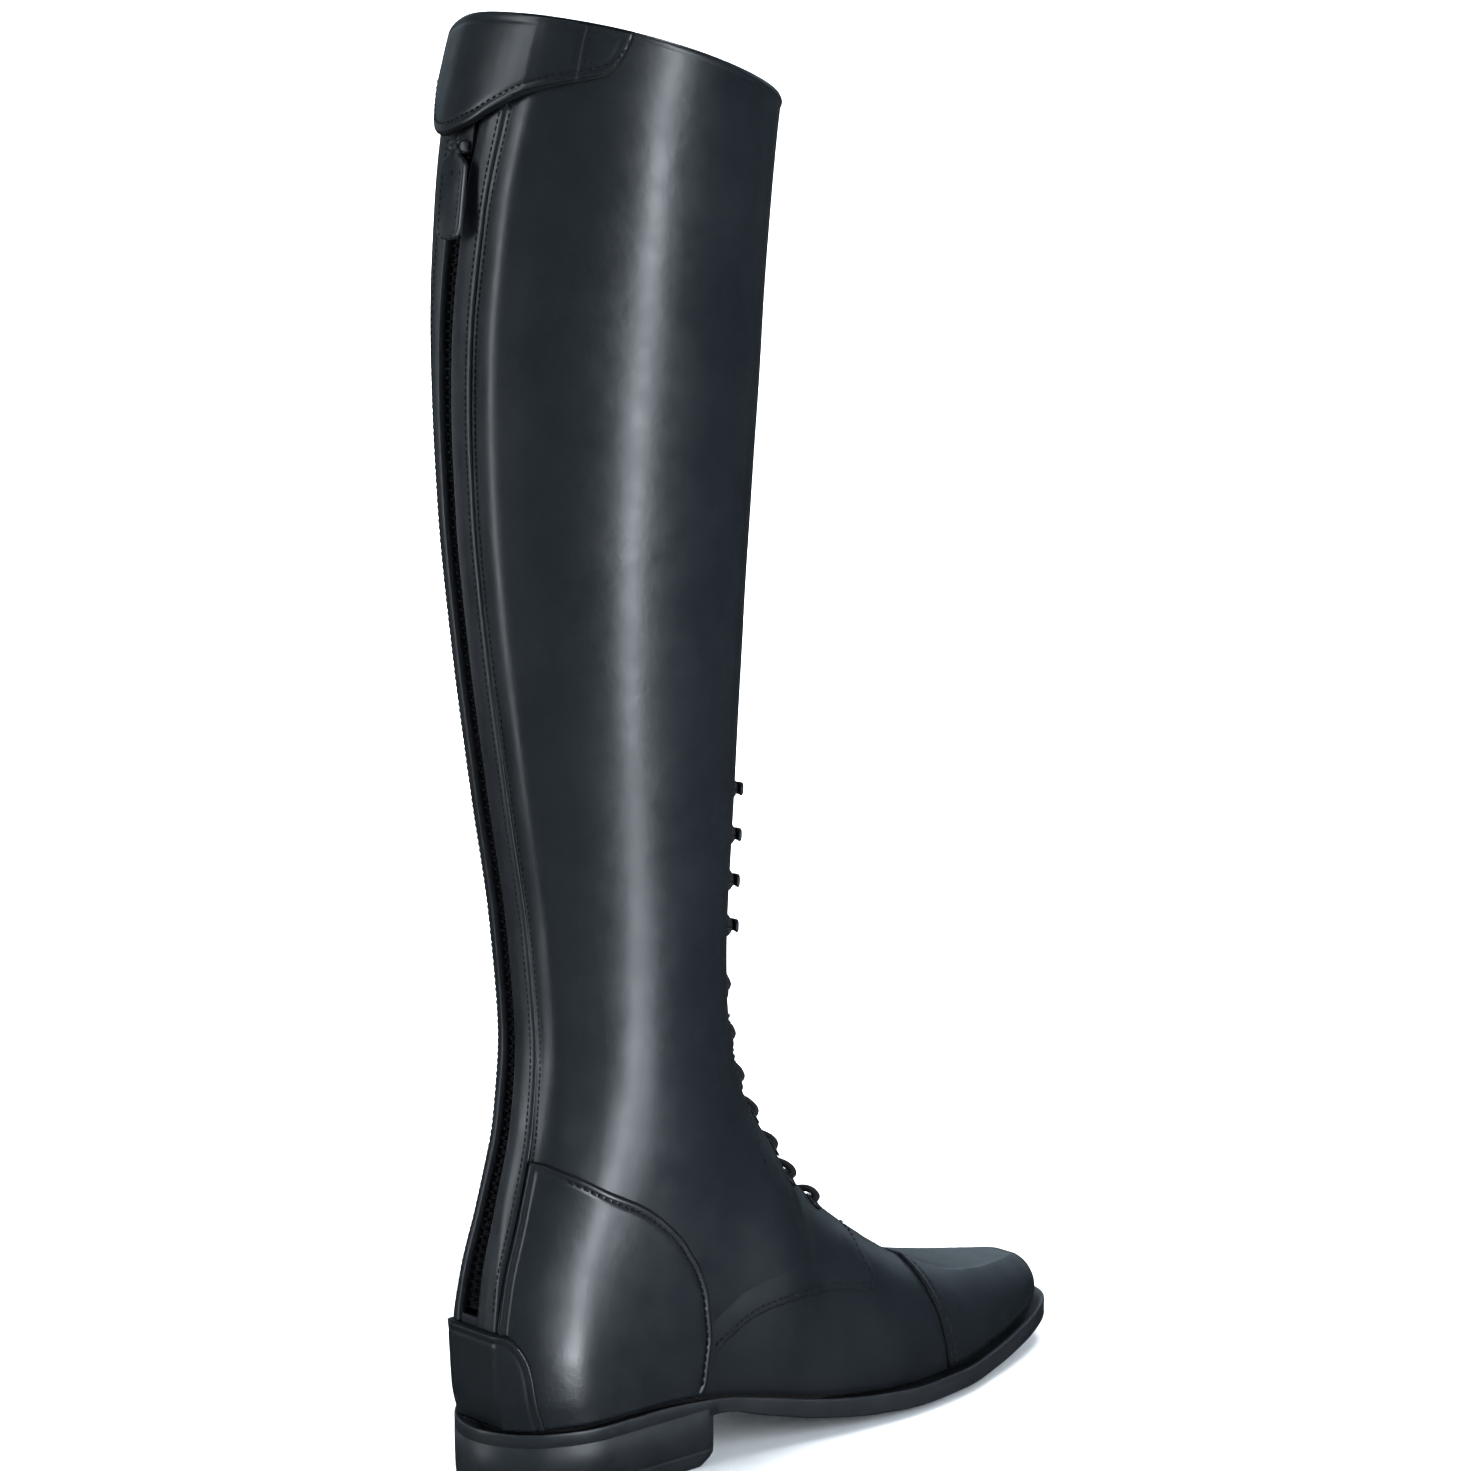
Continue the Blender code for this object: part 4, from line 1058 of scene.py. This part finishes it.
def zip_pull():
    """Leather tab with a sewn rim, hung on the slider's pin."""
    pin, n, t, up = pull_pin()
    half = PULL_WIDTH / 2
    low = -PULL_LENGTH + half
    flank = [(-1.0, 2.1), (-2.7, 2.2), (-3.9, half - 2.2), (-4.9, half - 0.9), (-6.0, half - 0.2),
             (-7.5, half)]
    angle = np.linspace(0, np.pi, 25)
    down = half * np.abs(np.sin(angle)) ** 0.7
    wide = half * np.sign(np.cos(angle)) * np.abs(np.cos(angle)) ** 0.7
    around = [(low - a, -b) for a, b in zip(down, wide)]
    ring = [(a, -b) for a, b in flank] + around + flank[::-1]
    parts = [prism([pin + up * a + t * b + n * 0.4 for a, b in ring], n, 1.1)]
    angle = np.linspace(0, 2 * np.pi, 20, endpoint=False)
    outer = [pin + (up * math.cos(a) + n * math.sin(a)) * 2.15 for a in angle]
    parts.append(prism(outer, t, 2.15))
    obj = joined("zip_pull_leather", parts, BLACK, "pull_tab")
    bevel(obj, 0.45)
    finish(obj, "leather", "zip_pull")
    rim = []
    for a, b in ring[4:-4]:
        shrink = 1 - 1.7 / half
        rim.append(pin + up * (low + (a - low) * (1 - 1.7 / PULL_LENGTH)) + t * b * shrink + n * 1.4)
    line = catmull(rim, 90)
    parts = []
    for i in range(2, 86, 4):
        parts.append(tube(line[i:i + 4], [0.12, 0.3, 0.3, 0.12], 6, 1.0, n))
    rivet = [pin - up * 9.0 + n * h for h in (1.3, 1.65, 1.8)]
    parts.append(tube(rivet, [1.1, 1.0, 0.5], 14, 1.0, up))
    return finish(joined("zip_pull_stitches", parts, THREAD, "pull_tab"), "cloth")


def lathe(p, n, t, up, profile, sides):
    """A turned ring round the outward direction, from a closed profile of radius and height."""
    m = len(profile)
    verts = []
    for a in np.linspace(0, 2 * np.pi, sides, endpoint=False):
        verts += [p + n * h + (t * math.cos(a) + up * math.sin(a)) * r for r, h in profile]
    return verts, [[v % len(verts) for v in face] for face in bands(sides + 1, m)]


def eyelets():
    profile = [(1.7, -1.2), (2.2, -1.2), (2.4, 0.1), (3.6, 0.05), (3.9, 0.2), (3.8, 0.5), (3.3, 0.72),
               (2.6, 0.72), (2.0, 0.5), (1.7, 0.0)]
    parts, nodes = [], []
    for name, sign in SIDES:
        for k, s in enumerate(EYELET_ROWS, 1):
            parts.append(lathe(*frame_at(s, sign * EYELET_OUT, "front"), profile, 28))
            nodes.append(f"eyelet_{name}_{k}")
    return finish(joined("eyelets_metal", parts, METAL), "metal", *nodes)


def hooks():
    """Lace hooks: a foot on the leather, and a thick rounded plate bent back over it."""
    curve = catmull([(2.8, 0.3), (0.4, 0.4), (-1.5, 0.7), (-2.3, 2.1), (-1.7, 3.9), (0.0, 4.6), (1.8, 4.5),
                     (2.9, 4.0)], 30)
    along = np.linspace(0, 1, len(curve))
    wide = np.interp(along, [0, 0.06, 0.15, 0.5, 0.85, 0.94, 1], [0.9, 1.9, 2.3, 2.2, 2.5, 2.1, 1.1])
    thick = np.interp(along, [0, 0.06, 0.15, 0.6, 0.85, 0.94, 1], [0.2, 0.5, 0.6, 0.7, 0.85, 0.7, 0.25])
    angle = np.linspace(0, 2 * np.pi, 14, endpoint=False)
    ring = [(math.copysign(abs(math.cos(a)) ** 0.6, math.cos(a)), math.sin(a)) for a in angle]
    parts, nodes = [], []
    for name, sign in SIDES:
        for k, s in enumerate(HOOK_ROWS, 1):
            p, n, t, up = frame_at(s, sign * HOOK_OUT, "front")
            line = np.array([p + t * sign * a + n * b for a, b in curve])
            face = np.cross(unit(np.gradient(line, axis=0)), up)
            verts = [q + up * w * a + f * h * b
                     for q, w, h, f in zip(line, wide, thick, face) for a, b in ring]
            parts.append((verts, bands(len(line), len(ring)) + caps(len(line), len(ring))))
            nodes.append(f"hook_{name}_{k}")
    return finish(joined("hooks_metal", parts, METAL), "metal", *nodes)


def lace():
    """Two strands, each up through an eyelet, over the facing and across under the other side."""
    parts = []
    under = -WALL - LACE_RADIUS - 0.1
    for first in (-1, 1):
        over = 0.9 * first
        side = first
        spots = [(EYELET_ROWS[0] - 1, 0.0, -1.2), (EYELET_ROWS[0] - 0.6, side * 9.0, under)]
        for k, s in enumerate(EYELET_ROWS):
            out = side * EYELET_OUT
            above = (EYELET_ROWS + HOOK_ROWS)[k + 1]
            rise = 0.8 if k < 2 else 0.0
            spots += [(s, out, -2.6), (s, out, 0.3), (s + 0.7, out - side * 0.7, 1.4 + rise),
                      (s + 2.2, out - side * 2.4, 1.6 + rise), (s + 4.0, side * 7.4, 1.2 + rise),
                      ((s + above) / 2, 0.0, over - 1.5)]
            if k + 1 < len(EYELET_ROWS):
                spots += [(s + (above - s) * 0.8, -side * 7.0, under), (above - 0.4, -side * 10.0, under)]
            side = -side
        for k, s in enumerate(HOOK_ROWS):
            spots += [(s - 4.8, side * 8.0, 0.6), (s - 3.6, side * (HOOK_OUT - 1.8), 0.6),
                      (s - 1.6, side * (HOOK_OUT + 0.4), 1.6), (s, side * (HOOK_OUT + 0.8), 1.7),
                      (s + 1.6, side * (HOOK_OUT + 0.4), 1.6),
                      (s + 3.6, side * (HOOK_OUT - 1.8), 0.6), (s + 4.8, side * 8.0, 0.6)]
            if k + 1 < len(HOOK_ROWS):
                spots += [((s + HOOK_ROWS[k + 1]) / 2, 0.0, over + 0.4)]
            side = -side
        spots += [(HOOK_ROWS[-1] + 6.0, -side * 5.0, -1.0), (HOOK_ROWS[-1] + 8.0, -side * 3.0, -2.6)]
        s, d, h = np.array(spots).T
        line = skin(s, d, "front") + normal(s, d, "front") * h[:, None]
        parts.append(tube(catmull(line, 900), LACE_RADIUS + 0.15, 8))
    return finish(joined("lace_cord", parts, CLOTH), "cloth", "lace")


def outline(shift, count):
    """Plan loop moved out from the feather line, and the spine under it, both round the foot."""
    angle = np.linspace(0, np.pi, count + 1)
    x = FOOT_LENGTH * (1 - np.cos(angle)) / 2
    spine_x = np.clip(x, 26, FOOT_LENGTH - 20)
    spine = np.stack([spine_x, (plan(spine_x, "inner") - plan(spine_x, "outer")) / 2], -1)
    rim = np.vstack([np.stack([x, -plan(x, "outer")], -1), np.stack([x, plan(x, "inner")], -1)[::-1][1:-1]])
    spine = np.vstack([spine, spine[::-1][1:-1]])
    ahead = np.roll(rim, -1, 0) - np.roll(rim, 1, 0)
    ahead = ahead / np.linalg.norm(ahead, axis=1)[:, None]
    out = np.stack([ahead[:, 1], -ahead[:, 0]], -1)
    return rim + out * np.broadcast_to(shift(rim[:, 0]), len(rim))[:, None], spine


# The sole's side: how far in from its edge, and below the sole's top face
SOLE_SIDE = {
    "in": [9.0, 5.6, 4.2, 2.4, 1.2, 0.5, 0.1, 0.0],
    "down": [2.8, 2.8, 2.6, 1.0, 0.25, 0.1, 0.45, 1.1],
}


def sole_block():
    """Welt and outsole as one dressed edge, with a groove along the feather line."""
    steps = 130
    rings = []
    for inset, down in zip(SOLE_SIDE["in"], SOLE_SIDE["down"]):
        rim, _ = outline(lambda x: sole(x, "margin") * (1 - inset / 5.0), steps)
        rings.append(np.column_stack([rim, sole(rim[:, 0], "top") - down]))
    rim, spine = outline(lambda x: sole(x, "margin"), steps)
    edge = sole(rim[:, 0], "edge")
    for inset, rise in ((0.0, 1.2), (0.15, 0.6), (0.6, 0.15), (1.2, 0.0)):
        low, _ = outline(lambda x: sole(x, "margin") - inset * step(84, 100, x), steps)
        rings.append(np.column_stack([low, edge + rise * step(84, 100, low[:, 0])]))
    for share in (0.9, 0.75, 0.6, 0.4, 0.2, 0.0):
        flat = spine + (rim - spine) * share
        crown = sole(flat[:, 0], "crown") * (1 - share ** 3)
        rings.append(np.column_stack([flat, np.maximum(sole(flat[:, 0], "edge") - crown, 0)]))
    count = len(rim)
    verts = np.vstack(rings)
    first_tread = len(SOLE_SIDE["in"]) + 3
    faces = bands(len(rings), count) + [list(range(count))]
    kinds = [int(r >= first_tread) for r in range(len(rings) - 1) for _ in range(count)] + [0]
    obj = build("sole_edge", verts, faces, [SOLE_BLACK, TREAD], "boot", kinds)
    return finish(obj, "rubber", "outsole", "welt")


def heel_ring(inset, breast, z):
    """Outline of the heel at a height, with a bowed breast."""
    rim, _ = outline(lambda x: sole(x, "margin") - inset, 120)
    half = len(rim) // 2
    lower = rim[:half + 1]
    lower = lower[lower[:, 0] < breast - 3.5]
    other = np.vstack([rim[half:], rim[:1]])
    other = other[other[:, 0] < breast - 3.5]
    corner_out = np.interp(breast, rim[:half, 0], rim[:half, 1])
    corner_in = np.interp(breast, rim[half:][::-1, 0], rim[half:][::-1, 1])
    middle = (corner_out + corner_in) / 2
    reach = (corner_in - corner_out) / 2
    corner = [(breast - 1.2 * (1 - math.cos(a)), -1 + 0.05 * (1 - math.sin(a)))
              for a in np.linspace(1.2, 0, 5)]
    bow = [(x, middle + w * reach) for x, w in corner]
    bow += [(breast - 1.6 * (1 - w * w), middle + w * reach) for w in np.linspace(-0.9, 0.9, 13)]
    bow += [(x, middle - w * reach) for x, w in corner[::-1]]
    ring = np.vstack([lower, bow, other[:-1]])
    return np.column_stack([ring, np.full(len(ring), z)])


# The heel's side from its top down: how far in, height over the floor, and how far the breast is cut back
HEEL_SIDE = {
    "in": [0.4, -0.03, -0.03, 0.12, 0.25, 0.15, 0.3, 0.4, 0.55, 0.8, 1.4],
    "z": [HEEL_HEIGHT + 3.4, HEEL_HEIGHT + 3.0, HEEL_HEIGHT - 4, 6.15, 6.0, 5.85, 4.6, 3.0, 1.0, 0.3, 0.0],
    "cut": [0, 0, 0, 0, 0, 0, 0, 1.5, 4.6, 5.6, 6.2],
}


def heel_block():
    """Stacked heel and its top piece as one dressed block."""
    rings = []
    for inset, z, cut in zip(*HEEL_SIDE.values()):
        ring = heel_ring(inset, BREAST, z)
        ring[:, 0] -= cut * step(58, BREAST, ring[:, 0])
        rings.append(ring)
    count = len(rings[0])
    faces = bands(len(rings), count) + caps(len(rings), count)
    obj = build("heel_edge", np.vstack(rings), faces, [SOLE_BLACK])
    return finish(obj, "rubber", "heel", "heel_top_piece")


def insole():
    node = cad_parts["insole"]
    node.data.materials.clear()
    node.data.materials.append(LINING)


# Stage


def camera():
    az = math.radians(VIEW["azimuth"])
    el = math.radians(VIEW["elevation"])
    roll = math.radians(VIEW["roll"])
    away = Vector((-math.sin(az) * math.cos(el), -math.cos(az) * math.cos(el), math.sin(el)))
    right = Vector((math.cos(az), -math.sin(az), 0))
    up = right.cross(-away)
    side = right * math.cos(roll) + up * math.sin(roll)
    above = up * math.cos(roll) - right * math.sin(roll)
    data = bpy.data.cameras.new("camera")
    data.sensor_width = 36.0
    data.lens = FOCUS / IMAGE[0] * data.sensor_width
    data.shift_x = -OFF_CENTRE[0] / IMAGE[0]
    data.shift_y = OFF_CENTRE[1] / IMAGE[0]
    data.clip_start = 0.05
    data.clip_end = 60
    obj = bpy.data.objects.new("camera", data)
    spot = (Vector(TARGET) + away * VIEW["distance"]) / 1000
    turn_to = Matrix((side, above, away)).transposed().to_4x4()
    obj.matrix_world = Matrix.Translation(spot) @ turn_to
    bpy.context.scene.collection.objects.link(obj)
    bpy.context.scene.camera = obj


def area_light(name, spot, aim, size, power, color=(0.86, 0.93, 1.0), spread=180, lean=0.0):
    """Rectangle of light; lean turns it about its own axis, in degrees."""
    data = bpy.data.lights.new(name, "AREA")
    data.shape = "RECTANGLE"
    data.size, data.size_y = size
    data.energy = power
    data.color = color
    data.spread = math.radians(spread)
    obj = bpy.data.objects.new(name, data)
    obj.location = spot
    turn_to = (Vector(aim) - Vector(spot)).to_track_quat("-Z", "Y").to_matrix()
    obj.rotation_euler = (turn_to @ Matrix.Rotation(math.radians(lean), 3, "Z")).to_euler()
    obj.visible_camera = False
    bpy.context.scene.collection.objects.link(obj)
    return obj


def sky():
    """Dim room: paler on the camera's side, dark low down behind, with a soft glow high up behind."""
    world = bpy.data.worlds.new("studio")
    world.use_nodes = True
    tree = world.node_tree
    coords = tree.nodes.new("ShaderNodeTexCoord").outputs["Generated"]

    def along(direction, low, high, a, b, soft=False):
        dot = add(tree, "ShaderNodeVectorMath", operation="DOT_PRODUCT")
        dot.inputs[1].default_value = direction
        tree.links.new(coords, dot.inputs[0])
        return ramp(tree, dot.outputs["Value"], low, high, a, b, soft)

    def join(kind, one, two):
        node = add(tree, "ShaderNodeMath", operation=kind)
        tree.links.new(one, node.inputs[0])
        tree.links.new(two, node.inputs[1])
        return node.outputs[0]

    room = along((-0.80, -0.45, 0.40), -0.6, 0.9, 0.03, 0.24)
    behind = along((0.669, 0.743, 0.0), 0.5, 1.0, 0.0, 1.0, True)
    glow = join("MULTIPLY", behind, along((0.0, 0.0, 1.0), -0.12, 0.42, 0.0, 1.0, True))
    back = tree.nodes["Background"]
    back.inputs["Color"].default_value = (0.72, 0.89, 1.0, 1)
    tree.links.new(join("ADD", room, glow), back.inputs["Strength"])
    bpy.context.scene.world = world


def lights():
    """A broken strip on the outer side, low strips on the floor, one to the left and a soft top light."""
    for name, x, z, long, lean in (("strip_top", 0.116, 0.60, 0.46, 0), ("strip_mid", 0.073, 0.29, 0.18, -29),
                                   ("strip_low", 0.037, 0.125, 0.19, 0)):
        power = STRIP_POWER * STRIP_WIDE * long
        area_light(name, (x, STRIP_OUT, z), (x, 0.0, z), (STRIP_WIDE, long), power, lean=lean)
    area_light("low_front", (0.108, -0.36, 0.012), (0.108, -0.36, 1.0), (0.035, 0.20), 0.5)
    area_light("low_heel", (0.013, -0.30, 0.012), (0.013, -0.30, 1.0), (0.04, 0.33), 1.3, lean=-10)
    area_light("left", (-0.884, 0.375, 0.75), (0.0, 0.0, 0.75), (0.14, 1.8), 8.0)
    area_light("far_left", (-0.25, 0.93, 0.22), (0.0, 0.0, 0.22), (0.16, 0.44), 0.5)
    top = area_light("top", (0.95, 1.05, 2.3), (1.15, 1.28, 0), (2.4, 2.0), 190.0, (0.95, 0.98, 1.0), 125)
    top.visible_glossy = False
    sky()
    bpy.context.scene.view_settings.view_transform = "Standard"


def floor():
    """Round pale floor that sweeps up into a wall."""
    mat, tree, shader, coords = nodes_of("pale_floor")
    cloud = noise(tree, coords, 1.5, 2.0, 0.5)
    tree.links.new(tint(tree, cloud, (0.76, 0.77, 0.78), (0.80, 0.81, 0.82)), shader.inputs["Base Color"])
    shader.inputs["Roughness"].default_value = 0.9
    shader.inputs["Specular IOR Level"].default_value = 0.1
    profile = [(0.0, 0.0), (1.0, 0.0), (2.2, 0.0), (2.5, 0.03), (2.75, 0.13), (2.92, 0.32), (3.0, 0.6),
               (3.0, 1.2), (3.0, 3.0)]
    sides = 96
    verts = [(0.1 + r * math.cos(2 * math.pi * k / sides), r * math.sin(2 * math.pi * k / sides), z)
             for r, z in profile[1:] for k in range(sides)]
    faces = [list(range(sides))] + [face[::-1] for face in bands(len(profile) - 1, sides)]
    mesh = bpy.data.meshes.new("floor")
    mesh.from_pydata(verts, [], faces)
    mesh.polygons.foreach_set("use_smooth", [True] * len(faces))
    mesh.materials.append(mat)
    obj = bpy.data.objects.new("floor", mesh)
    obj.visible_glossy = False
    bpy.context.scene.collection.objects.link(obj)


upper()
toe_line = toe_cap()
counter("counter_outer", -1)
counter("counter_inner", 1)
heel_cap()
back_strip("back_strip_outer", -1)
back_strip("back_strip_inner", 1)
collar_flap()
quarter_lines = [quarter_edge(-1), quarter_edge(1)]
back_seam_stitches()
counter_stitches()
vamp_stitches(toe_line, quarter_lines)
flap_stitches()
collar_binding()
tongue()
zip_parts()
zip_slider()
zip_pull()
eyelets()
hooks()
lace()
sole_block()
heel_block()
insole()
camera()
lights()
floor()
